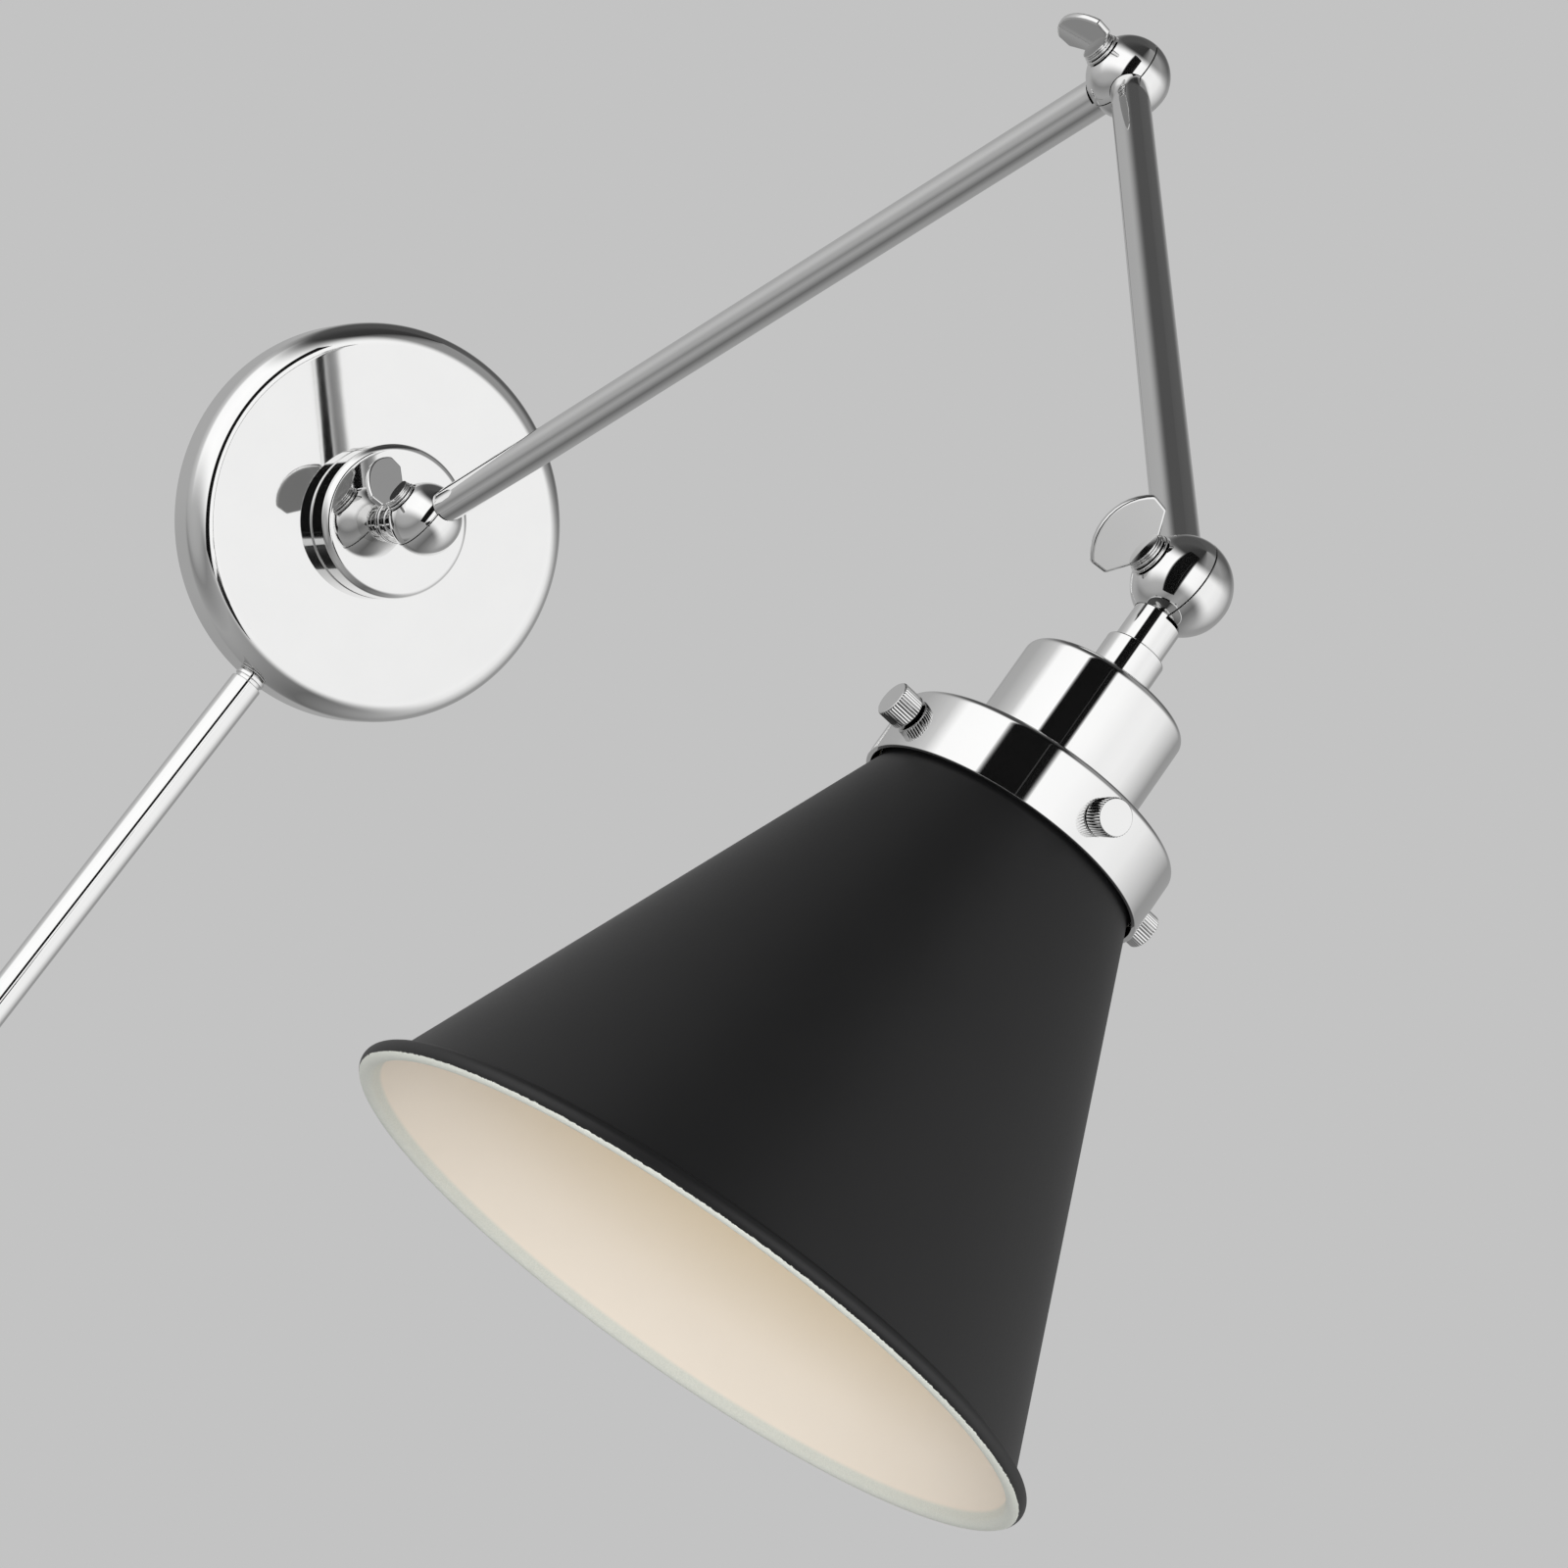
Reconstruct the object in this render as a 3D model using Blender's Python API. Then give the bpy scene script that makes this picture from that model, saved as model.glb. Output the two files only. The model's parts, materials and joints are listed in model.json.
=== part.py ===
"""Swing arm wall sconce: a round wall canopy with a swivelling boss, two tubular arms joined by
three split-ball pivots with paddle screws, and a conical metal shade held by four thumbscrews.

Frame: the wall is the plane y = 0, the sconce stands out along -Y, and +Z is up. The origin is the
centre of the canopy on the wall. Both arms and the shade lie in the plane x = 0.
"""

from math import acos, asin, atan2, cos, degrees, hypot, pi, radians, sin, sqrt, tan

import bmesh
import bpy

# Driving dimensions, in metres and degrees.
CANOPY_RADIUS = 0.065
CANOPY_DEPTH = 0.018
CANOPY_EDGE = 0.0075
BOSS_RADIUS = 0.025
BOSS_THICKNESS = 0.0118
BALL_RADIUS = 0.0118
BALL_STAND_OFF = 0.0247
TUBE_RADIUS = 0.0054
LOWER_ARM_LENGTH = 0.3174
LOWER_ARM_LIFT = 28.4
UPPER_ARM_LENGTH = 0.2994
UPPER_ARM_DROP = 38.8
HEAD_DROP = 88.2
NECK_RADIUS = 0.00605
CAP_RADIUS = 0.0207
CAP_TOP = 0.0314
COLLAR_RADIUS = 0.0357
COLLAR_TOP = 0.0594
COLLAR_HEIGHT = 0.0160
SHADE_NECK_RADIUS = 0.0334
SHADE_RIM_RADIUS = 0.0864
SHADE_LENGTH = 0.1246
CORD_TUBE_LENGTH = 0.200
PADDLE_WIDTH = 0.0207

# Clearances: between touching pieces, and where one half of a ball sweeps past the other's tube.
GAP = 0.0003
SLOT = 0.0007

# Sheet and tube walls.
SHEET = 0.0012
SHADE_SHEET = 0.0009
TUBE_WALL = 0.0010
NECK_WALL = 0.0018
BALL_WALL = 0.00136
BOSS_WALL = 0.0040
BOSS_EDGE = 0.0025
BOSS_BACK_EDGE = 0.0008
CAP_EDGE = 0.0022
COLLAR_EDGE = 0.0018
BEAD_RADIUS = 0.0022

# The strap behind the canopy and its side screws.
STRAP_WIDTH = 0.020
STRAP_THICKNESS = 0.0020
STRAP_SIDE_CLEARANCE = 0.0015
STRAP_SLOT_LENGTH = 0.012
STRAP_SLOT_WIDTH = 0.0044
STRAP_SLOT_SPACING = 0.0715
STRAP_HOLE_RADIUS = 0.0070
SIDE_SCREW_RADIUS = 0.0016
SIDE_SCREW_HEAD = 0.0027
SIDE_SCREW_DOME = 0.0015
SIDE_SCREW_TIP = 0.0020

# Stem and cord nipple.
NIPPLE_RADIUS = 0.00475
NIPPLE_BORE = 0.0030
STEM_FOOT_RADIUS = 0.0074
STEM_FOOT_HEIGHT = 0.0015
STEM_STEP_RADIUS = 0.0058
STEM_STEP_HEIGHT = 0.0013
STEM_LIP_RADIUS = 0.0066
STEM_LIP_HEIGHT = 0.0012
STEM_LIP_TO_BALL = 0.0022
STEM_TAIL = 0.0080
STEM_NUT_HEIGHT = 0.0038
SPRING_WASHER_RADIUS = 0.0090
CORD_SHOULDER = 0.0010
CORD_SHOULDER_HEIGHT = 0.0014
CORD_SPIGOT = 0.0100
CORD_NUT_HEIGHT = 0.0024
CORD_NUT_WALL = 0.00123

# Pivot hardware.
SCREW_RADIUS = 0.0020
BALL_SEAT_RADIUS = 0.0058
BALL_NUT_WALL = 0.0013
BALL_NUT_LENGTH = 0.0034
POST_WALL = 0.0019
WASHER = 0.0008
FRICTION_WASHER = 0.0012
PADDLE_WASHER_RADIUS = 0.0054
PADDLE_HUB_RADIUS = 0.00497
PADDLE_HUB_HEIGHT = 0.0016
PADDLE_THICKNESS = 0.0020
PADDLE_SHOULDER = 0.00414
PADDLE_CORNER = 0.00849
PADDLE_CROWN = 0.00486

# Lampholder, neck fittings and thumbscrews.
SLEEVE_WALL = 0.0010
SLEEVE_LENGTH = 0.0118
NECK_NUT_HEIGHT = 0.0030
NECK_NUT_ACROSS = 0.0180
LAMPHOLDER_RADIUS = 0.0170
LAMPHOLDER_STEP = 0.0060
LAMPHOLDER_DROP = 0.0100
LAMPHOLDER_EDGE = 0.0036
SHELL_RADIUS = 0.0137
SHELL_SHEET = 0.0006
SHELL_LIP = 0.0045
SHELL_RECESS = 0.0015
CONTACT_PIP_RADIUS = 0.0040
CONTACT_PIP_HEIGHT = 0.0022
CLAMP_RING = 0.0035
SHADE_NECK_CLEARANCE = 0.0012
THUMB_SHANK = 0.0015
THUMB_HEAD_RADIUS = 0.0044
THUMB_HEAD_LENGTH = 0.0056
THUMB_STAND_OFF = 0.0004
THUMB_BEVEL = 0.0004

# Where the seam between the two halves of each ball lies, towards the paddle from the centre.
SEAM = 0.0012
PADDLE_ANGLES = {"wall": 86.0, "elbow": -42.0, "head": 24.0}

# Facets round the large turned pieces, the middling ones and the small ones.
CANOPY_STEPS = 32
CAP_STEPS = 24
TUBE_STEPS = 16
SMALL_STEPS = 12
SHADE_STEPS = 36

# How far a cutter runs past what it cuts.
OVERRUN = 0.0020

# The supply cord's nipple fits inside its tube, and its nut lies clear of the wall plane.
CORD_NIPPLE_RADIUS = TUBE_RADIUS - TUBE_WALL - GAP
CORD_NUT_ACROSS = 2 * (CORD_NIPPLE_RADIUS + CORD_NUT_WALL)
CORD_NUT_CORNER = CORD_NUT_ACROSS / 2 / cos(pi / 6)
CORD_NUT_TO_WALL = 0.0013

# Depths from the wall, along -Y.
FRONT = CANOPY_DEPTH
BOSS_BACK = FRONT + GAP
BOSS_FACE = BOSS_BACK + BOSS_THICKNESS
WALL_BALL = BOSS_FACE + BALL_STAND_OFF
CORD_TUBE_DEPTH = CORD_NUT_CORNER + CORD_NUT_TO_WALL
SIDE_SCREW_DEPTH = CORD_TUBE_DEPTH

# Inside each ball: its flat seat, the nut's radius and the cavity, whose far corner is a wall's
# thickness from the ball's surface.
BALL_SEAT = sqrt(BALL_RADIUS**2 - BALL_SEAT_RADIUS**2)
BALL_NUT_RADIUS = SCREW_RADIUS + GAP + BALL_NUT_WALL
CAVITY_RADIUS = (BALL_RADIUS - BALL_WALL) * cos(radians(34.4))
CAVITY_TOP = (BALL_RADIUS - BALL_WALL) * sin(radians(34.4))

# Distances along the shade's axis from the head ball.
COLLAR_BOTTOM = COLLAR_TOP + COLLAR_HEIGHT
SHADE_RIM = COLLAR_BOTTOM + SHADE_LENGTH
THUMB_HEIGHT = COLLAR_TOP + COLLAR_HEIGHT * 0.48
LAMPHOLDER_TOP = CAP_TOP + SHEET + LAMPHOLDER_STEP
LAMPHOLDER_BOTTOM = COLLAR_BOTTOM + LAMPHOLDER_DROP
LAMPHOLDER_WALL = LAMPHOLDER_RADIUS - SHELL_RADIUS - GAP
NECK_END = LAMPHOLDER_TOP + LAMPHOLDER_WALL - GAP

# The turned pieces are built along their own +Z. These rotations lay that axis along a direction.
OUTWARD = (pi / 2, 0, 0)
INWARD = (-pi / 2, 0, 0)
LEFT = (0, -pi / 2, 0)
RIGHT = (0, pi / 2, 0)
UP = (0, 0, 0)
DOWN = (pi, 0, 0)

FINISHES = {
    "polished_nickel": ((0.80, 0.79, 0.77, 1), 1.0, 0.06),
    "black_paint": ((0.012, 0.012, 0.013, 1), 0.0, 0.45),
    "plated_steel": ((0.62, 0.62, 0.62, 1), 1.0, 0.35),
    "brass": ((0.78, 0.60, 0.30, 1), 1.0, 0.30),
    "black_phenolic": ((0.02, 0.02, 0.02, 1), 0.0, 0.40),
    "fibre": ((0.30, 0.10, 0.06, 1), 0.0, 0.70),
}


def clear_scene():
    for obj in list(bpy.data.objects):
        bpy.data.objects.remove(obj, do_unlink=True)


def make_material(name):
    color, metallic, roughness = FINISHES[name]
    material = bpy.data.materials.new(name)
    material.use_nodes = True
    shader = material.node_tree.nodes["Principled BSDF"]
    shader.inputs["Base Color"].default_value = color
    shader.inputs["Metallic"].default_value = metallic
    shader.inputs["Roughness"].default_value = roughness
    return material


def add_empty(name, parent=None, location=(0, 0, 0), rotation=(0, 0, 0)):
    empty = bpy.data.objects.new(name, None)
    empty.empty_display_size = 0.02
    bpy.context.scene.collection.objects.link(empty)
    empty.parent = parent
    empty.location = location
    empty.rotation_euler = rotation
    return empty


def add_mesh(name, bm, finish, parent=None, location=(0, 0, 0), rotation=UP):
    """Turns a bmesh into a named object with its own material."""
    bmesh.ops.recalc_face_normals(bm, faces=bm.faces)
    mesh = bpy.data.meshes.new(name)
    bm.to_mesh(mesh)
    bm.free()
    mesh.shade_smooth()
    mesh.set_sharp_from_angle(angle=radians(32))
    if finish:
        mesh.materials.append(MATERIALS[finish])
    obj = bpy.data.objects.new(name, mesh)
    bpy.context.scene.collection.objects.link(obj)
    obj.parent = parent
    obj.location = location
    obj.rotation_euler = rotation
    return obj


def turned(name, profile, finish, steps, **place):
    """A turned piece: the (radius, height) profile is spun round local Z. A profile that starts and
    ends on the axis stays open there, and any other closes on itself."""
    bm = bmesh.new()
    verts = [bm.verts.new((radius, 0, height)) for radius, height in profile]
    pairs = list(zip(verts, verts[1:]))
    if profile[0][0] or profile[-1][0]:
        pairs.append((verts[-1], verts[0]))
    edges = [bm.edges.new(pair) for pair in pairs]
    bmesh.ops.spin(
        bm,
        geom=verts + edges,
        cent=(0, 0, 0),
        axis=(0, 0, 1),
        angle=2 * pi,
        steps=steps,
        use_merge=True,
    )
    bmesh.ops.remove_doubles(bm, verts=bm.verts, dist=1e-6)
    return add_mesh(name, bm, finish, **place)


def arc(center, radius, start, end, steps):
    """Profile points on an arc between two angles in degrees, both ends included."""
    angles = [radians(start + (end - start) * i / steps) for i in range(steps + 1)]
    return [(center[0] + radius * cos(a), center[1] + radius * sin(a)) for a in angles]


def ring_profile(inner, outer, bottom, top):
    return [(outer, bottom), (outer, top), (inner, top), (inner, bottom)]


def rod_profile(radius, bottom, top):
    return [(0, bottom), (radius, bottom), (radius, top), (0, top)]


def cup_profile(outer, wall, edge, top, bottom, hole, steps=3):
    """A drawn cup with a rounded top edge, open at the bottom, with a round hole in its top. The
    heights grow downwards, away from the top."""
    inner = outer - wall
    shell = [(outer, bottom)]
    shell += arc((outer - edge, top + edge), edge, 0, -90, steps)
    shell += [(hole, top), (hole, top + wall)]
    shell += arc((outer - edge, top + edge), edge - wall, -90, 0, steps)
    return shell + [(inner, bottom)]


def hex_nut(name, bore, across, bottom, top, **place):
    """A hexagonal nut with a round bore."""
    nut = turned(name, rod_profile(across / 2 / cos(pi / 6), bottom, top), "brass", 6, **place)
    return drill(nut, bore, bottom - OVERRUN, top + OVERRUN, **place)


def box(name, low, high, finish, **place):
    bm = bmesh.new()
    bmesh.ops.create_cube(bm, size=1)
    for vert in bm.verts:
        vert.co = [a + (b - a) * (c + 0.5) for a, b, c in zip(low, high, vert.co)]
    return add_mesh(name, bm, finish, **place)


def combine(obj, other, operation="DIFFERENCE"):
    """Cuts the other solid from this one, or joins the two, and hides the other."""
    modifier = obj.modifiers.new(other.name, "BOOLEAN")
    modifier.operation = operation
    modifier.solver = "EXACT"
    modifier.object = other
    other.hide_render = True
    other.display_type = "WIRE"
    return obj


def drill(obj, radius, bottom, top, steps=TUBE_STEPS, **place):
    cutter = turned(obj.name + "_drill", rod_profile(radius, bottom, top), None, steps, **place)
    return combine(obj, cutter)


# Wall canopy and what it holds


def add_canopy(wall):
    profile = cup_profile(CANOPY_RADIUS, SHEET, CANOPY_EDGE, 0, CANOPY_DEPTH, NIPPLE_RADIUS + GAP)
    place = {"parent": wall, "location": (0, -FRONT, 0), "rotation": INWARD}
    canopy = turned("wall_canopy", profile, "polished_nickel", CANOPY_STEPS, **place)
    outside = CANOPY_RADIUS + OVERRUN
    for rotation in (LEFT, RIGHT):
        place = {"parent": wall, "location": (0, -SIDE_SCREW_DEPTH, 0), "rotation": rotation}
        drill(canopy, SIDE_SCREW_RADIUS + GAP, strap_reach(), outside, steps=SMALL_STEPS, **place)
    place = {"parent": wall, "location": (0, -CORD_TUBE_DEPTH, 0), "rotation": DOWN}
    drill(canopy, CORD_NIPPLE_RADIUS + GAP, cord_nut_top() - OVERRUN, outside, **place)


def canopy_inside(depth, half_width):
    """How far from the canopy's axis a flat-ended piece can reach inside its side wall, facets
    included. The piece runs this deep from the wall plane and is this wide either way."""
    into_edge = max(0, depth - (CANOPY_DEPTH - CANOPY_EDGE))
    inner_edge = CANOPY_EDGE - SHEET
    wall_inside = CANOPY_RADIUS - CANOPY_EDGE + sqrt(inner_edge**2 - into_edge**2)
    return sqrt((wall_inside * cos(pi / CANOPY_STEPS)) ** 2 - half_width**2)


def strap_ear_depth():
    """How far the strap's ears stand from the wall plane, past the side screws."""
    return SIDE_SCREW_DEPTH + SIDE_SCREW_RADIUS + STRAP_SIDE_CLEARANCE


def strap_reach():
    """Half the strap's length: it and its ears, which are half as wide, lie inside the canopy."""
    half_width = STRAP_WIDTH / 2
    room = min(canopy_inside(0, half_width), canopy_inside(strap_ear_depth(), half_width / 2))
    return room - GAP


def add_bracket(wall):
    """The strap that is screwed to the wall box. Its bent ears take the canopy's side screws."""
    outside = strap_reach()
    half_width = STRAP_WIDTH / 2
    low = (-outside, -STRAP_THICKNESS, -half_width)
    strap = box("mounting_strap", low, (outside, 0, half_width), "plated_steel", parent=wall)
    for name, side, rotation in (("left", -1, LEFT), ("right", 1, RIGHT)):
        low_x, high_x = sorted((side * (outside - STRAP_THICKNESS), side * outside))
        low = (low_x, -strap_ear_depth(), -half_width / 2)
        high = (high_x, -STRAP_THICKNESS / 2, half_width / 2)
        combine(strap, box("strap_ear_" + name, low, high, None, parent=wall), "UNION")
        place = {"parent": wall, "location": (0, -SIDE_SCREW_DEPTH, 0), "rotation": rotation}
        reach = (outside - STRAP_THICKNESS - OVERRUN, outside + OVERRUN)
        drill(strap, SIDE_SCREW_RADIUS + GAP, *reach, steps=SMALL_STEPS, **place)
    hole_depth = STRAP_THICKNESS + OVERRUN
    drill(strap, STRAP_HOLE_RADIUS, -OVERRUN, hole_depth, parent=wall, rotation=OUTWARD)
    for side in (-1, 1):
        center = side * STRAP_SLOT_SPACING / 2
        low = (center - STRAP_SLOT_LENGTH / 2, -hole_depth, -STRAP_SLOT_WIDTH / 2)
        high = (center + STRAP_SLOT_LENGTH / 2, OVERRUN, STRAP_SLOT_WIDTH / 2)
        combine(strap, box("strap_slot", low, high, None, parent=wall))


def add_side_screws(wall):
    seat = CANOPY_RADIUS + GAP
    tip = strap_reach() - STRAP_THICKNESS - SIDE_SCREW_TIP
    dome = seat + SIDE_SCREW_DOME
    head = SIDE_SCREW_HEAD
    profile = [(0, tip), (SIDE_SCREW_RADIUS, tip), (SIDE_SCREW_RADIUS, seat), (head, seat)]
    profile += [(head * 0.9, seat + SIDE_SCREW_DOME * 0.6), (head * 0.5, dome - GAP / 3), (0, dome)]
    for name, rotation in (("left", LEFT), ("right", RIGHT)):
        place = {"parent": wall, "location": (0, -SIDE_SCREW_DEPTH, 0), "rotation": rotation}
        turned("canopy_screw_" + name, profile, "polished_nickel", SMALL_STEPS, **place)


def cord_nut_top():
    """How far from the canopy's axis the cord nipple's nut reaches, inside the side wall."""
    return canopy_inside(CORD_TUBE_DEPTH + CORD_NUT_CORNER, CORD_NUT_CORNER) - GAP


def add_cord_tube(wall):
    """The plumb tube under the canopy that covers the supply cord, on a shouldered nipple."""
    place = {"parent": wall, "location": (0, -CORD_TUBE_DEPTH, 0), "rotation": DOWN}
    nipple = CORD_NIPPLE_RADIUS
    bore = nipple - TUBE_WALL
    nut_bottom = cord_nut_top() - CORD_NUT_HEIGHT
    start = nut_bottom - CORD_SHOULDER_HEIGHT
    shoulder = CANOPY_RADIUS + GAP
    shoulder_end = shoulder + CORD_SHOULDER_HEIGHT
    tube_top = shoulder_end + CORD_SHOULDER + GAP
    end = tube_top + CORD_SPIGOT
    profile = [(bore, start), (nipple, start), (nipple, shoulder)]
    profile += [(nipple + CORD_SHOULDER, shoulder), (nipple + CORD_SHOULDER, shoulder_end)]
    profile += [(nipple + CORD_SHOULDER * 0.4, shoulder_end), (nipple + CORD_SHOULDER * 0.4, tube_top - GAP)]
    profile += [(nipple, tube_top - GAP), (nipple, end), (bore, end)]
    turned("cord_tube_nipple", profile, "polished_nickel", TUBE_STEPS, **place)
    hex_nut("cord_tube_nut", nipple + GAP, CORD_NUT_ACROSS, nut_bottom, cord_nut_top(), **place)
    tube = ring_profile(TUBE_RADIUS - TUBE_WALL, TUBE_RADIUS, tube_top, tube_top + CORD_TUBE_LENGTH)
    turned("cord_tube", tube, "polished_nickel", TUBE_STEPS, **place)


# Boss and stem, which swivel on the canopy


def add_boss(swivel):
    recess = BOSS_RADIUS - BOSS_WALL
    depth = BOSS_THICKNESS * 0.6
    bore = NIPPLE_RADIUS + GAP
    post = bore + BOSS_WALL
    profile = [(BOSS_RADIUS - BOSS_BACK_EDGE, 0), (BOSS_RADIUS, BOSS_BACK_EDGE)]
    profile += arc((BOSS_RADIUS - BOSS_EDGE, BOSS_THICKNESS - BOSS_EDGE), BOSS_EDGE, 0, 90, 3)
    profile += [(bore, BOSS_THICKNESS), (bore, 0), (post, 0)]
    profile += [(post, depth), (recess, depth), (recess, 0)]
    place = {"parent": swivel, "location": (0, -BOSS_BACK, 0), "rotation": OUTWARD}
    turned("swivel_boss", profile, "polished_nickel", CAP_STEPS, **place)


def add_stem(swivel):
    """The hollow stem stands on the boss, and its threaded nipple runs back through the canopy."""
    inside = FRONT - SHEET
    tail = inside - STEM_TAIL
    face = BOSS_FACE + GAP
    foot = face + STEM_FOOT_HEIGHT
    step = foot + STEM_STEP_HEIGHT
    lip = WALL_BALL - BALL_RADIUS - STEM_LIP_TO_BALL
    ball_end = WALL_BALL - CAVITY_RADIUS - GAP
    profile = [(NIPPLE_BORE, tail), (NIPPLE_RADIUS, tail), (NIPPLE_RADIUS, face)]
    profile += [(STEM_FOOT_RADIUS, face), (STEM_FOOT_RADIUS, foot), (STEM_STEP_RADIUS, foot)]
    profile += [(STEM_STEP_RADIUS, step), (NIPPLE_RADIUS, step), (NIPPLE_RADIUS, lip - STEM_LIP_HEIGHT)]
    profile += [(STEM_LIP_RADIUS, lip - STEM_LIP_HEIGHT), (STEM_LIP_RADIUS, lip), (NIPPLE_RADIUS, lip)]
    profile += [(NIPPLE_RADIUS, ball_end), (NIPPLE_BORE, ball_end)]
    place = {"parent": swivel, "rotation": OUTWARD}
    stem = turned("stem", profile, "polished_nickel", TUBE_STEPS, **place)
    combine(stem, add_dome_cutter("stem_lap", "near", swivel, (0, -WALL_BALL, 0)))
    washer_top = inside - GAP
    washer = ring_profile(NIPPLE_RADIUS + GAP, SPRING_WASHER_RADIUS, washer_top - WASHER, washer_top)
    turned("stem_spring_washer", washer, "plated_steel", TUBE_STEPS, **place)
    nut_top = washer_top - WASHER - GAP
    nut_bottom = nut_top - STEM_NUT_HEIGHT
    hex_nut("stem_nut", NIPPLE_RADIUS + GAP, NIPPLE_RADIUS * 3.2, nut_bottom, nut_top, **place)


# Split-ball pivots


def add_dome_cutter(name, side, parent, center):
    """The space that the other half of the ball sweeps, on one side of the seam."""
    radius = BALL_RADIUS + SLOT
    seam = (SEAM if side == "near" else -SEAM) - GAP / 2
    profile = [(0, seam)] + arc((0, 0), radius, degrees(asin(seam / radius)), 90, 6)
    profile[-1] = (0, radius)
    rotation = LEFT if side == "near" else RIGHT
    return turned(name, profile, None, TUBE_STEPS, parent=parent, location=center, rotation=rotation)


def add_ball_half(name, side, parent, center, tube_radius, rotation):
    """One half of a ball. The near half carries the paddle's seat, and the far half the nut. A
    rotation gives the direction in which its tube leaves."""
    near = side == "near"
    seam = (SEAM if near else -SEAM) + GAP / 2
    start = degrees(asin(seam / BALL_RADIUS))
    end = degrees(asin(BALL_SEAT / BALL_RADIUS))
    hole = SCREW_RADIUS + GAP
    post = hole + POST_WALL
    post_end = seam + (FRICTION_WASHER + GAP) / 2
    profile = arc((0, 0), BALL_RADIUS, start, end, 5)
    if near:
        profile += [(hole, BALL_SEAT)]
    else:
        pocket = BALL_SEAT - BALL_NUT_LENGTH - GAP
        profile += [(BALL_NUT_RADIUS + GAP, BALL_SEAT), (BALL_NUT_RADIUS + GAP, pocket), (hole, pocket)]
    profile += [(hole, post_end), (post, post_end), (post, CAVITY_TOP)]
    profile += [(CAVITY_RADIUS, CAVITY_TOP), (CAVITY_RADIUS, seam)]
    place = {"parent": parent, "location": center}
    axis = LEFT if near else RIGHT
    half = turned(name, profile, "polished_nickel", TUBE_STEPS, rotation=axis, **place)
    reach = (post + GAP, BALL_RADIUS + OVERRUN)
    return drill(half, tube_radius + GAP, *reach, rotation=rotation, **place)


def add_pivot_hardware(name, near_parent, far_parent, center_near, center_far):
    """The paddle screw with its washer, the friction washer in the seam, and the far half's nut."""
    bore = SCREW_RADIUS + GAP
    nut = ring_profile(bore, BALL_NUT_RADIUS, BALL_SEAT - BALL_NUT_LENGTH, BALL_SEAT - GAP)
    far = {"parent": far_parent, "location": center_far, "rotation": RIGHT}
    turned(name + "_ball_nut", nut, "brass", SMALL_STEPS, **far)
    friction = ring_profile(bore, bore + POST_WALL, -FRICTION_WASHER / 2, FRICTION_WASHER / 2)
    seam_center = (center_near[0] - SEAM, center_near[1], center_near[2])
    near = {"parent": near_parent, "location": seam_center, "rotation": LEFT}
    turned(name + "_friction_washer", friction, "fibre", SMALL_STEPS, **near)
    washer = ring_profile(bore, PADDLE_WASHER_RADIUS, BALL_SEAT + GAP, BALL_SEAT + GAP + WASHER)
    near = {"parent": near_parent, "location": center_near, "rotation": LEFT}
    turned(name + "_paddle_washer", washer, "polished_nickel", TUBE_STEPS, **near)
    turn = (radians(PADDLE_ANGLES[name]), 0, 0)
    add_paddle(name + "_paddle_screw", add_empty(name + "_paddle_axis", near_parent, center_near, turn))


def add_paddle(name, axis):
    """A flat key-shaped paddle on a ringed hub, in one piece with its screw."""
    hub_bottom = BALL_SEAT + WASHER + 2 * GAP
    hub_top = hub_bottom + PADDLE_HUB_HEIGHT
    groove = hub_bottom + PADDLE_HUB_HEIGHT * 0.45
    hub = PADDLE_HUB_RADIUS
    tip = GAP - BALL_SEAT
    profile = [(0, tip), (SCREW_RADIUS, tip), (SCREW_RADIUS, hub_bottom), (hub, hub_bottom)]
    profile += [(hub, groove - GAP), (hub * 0.86, groove), (hub * 0.94, hub_top), (0, hub_top + GAP)]
    screw = turned(name, profile, "polished_nickel", SMALL_STEPS, parent=axis, rotation=LEFT)
    half = PADDLE_WIDTH / 2
    side = [(groove, hub * 0.96), (hub_bottom + PADDLE_SHOULDER, half * 0.955)]
    crown_radius = (half**2 + PADDLE_CROWN**2) / (2 * PADDLE_CROWN)
    crown_center = hub_bottom + PADDLE_CORNER + PADDLE_CROWN - crown_radius
    sweep = degrees(asin(half / crown_radius))
    crown = arc((crown_center, 0), crown_radius, -sweep, sweep, 6)
    outline = [(out, -across) for out, across in side] + crown + side[::-1]
    combine(screw, add_plate(name + "_plate", outline, PADDLE_THICKNESS, axis), "UNION")


def add_plate(name, outline, thickness, parent):
    """A flat plate: each outline point is its distance towards -X and its place along Y."""
    bm = bmesh.new()
    face = bm.faces.new([bm.verts.new((-out, across, -thickness / 2)) for out, across in outline])
    extruded = bmesh.ops.extrude_face_region(bm, geom=[face])
    lifted = [item for item in extruded["geom"] if isinstance(item, bmesh.types.BMVert)]
    bmesh.ops.translate(bm, verts=lifted, vec=(0, 0, thickness))
    return add_mesh(name, bm, None, parent=parent)


# Arms


def add_arm_tube(name, pivot, length):
    """An arm's tube runs between two balls. Its first end lies in a near half, its last in a far one."""
    start = CAVITY_RADIUS + GAP
    profile = ring_profile(TUBE_RADIUS - TUBE_WALL, TUBE_RADIUS, start, length - start)
    tube = turned(name, profile, "polished_nickel", TUBE_STEPS, parent=pivot, rotation=OUTWARD)
    combine(tube, add_dome_cutter(name + "_first_lap", "far", pivot, (0, 0, 0)))
    combine(tube, add_dome_cutter(name + "_last_lap", "near", pivot, (0, -length, 0)))


def add_arm(name, first_ball, last_ball, pivot, length):
    add_ball_half(first_ball, "near", pivot, (0, 0, 0), TUBE_RADIUS, OUTWARD)
    add_arm_tube(name, pivot, length)
    add_ball_half(last_ball, "far", pivot, (0, -length, 0), TUBE_RADIUS, INWARD)


# Head: neck, cap, lampholder, collar and shade


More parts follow.
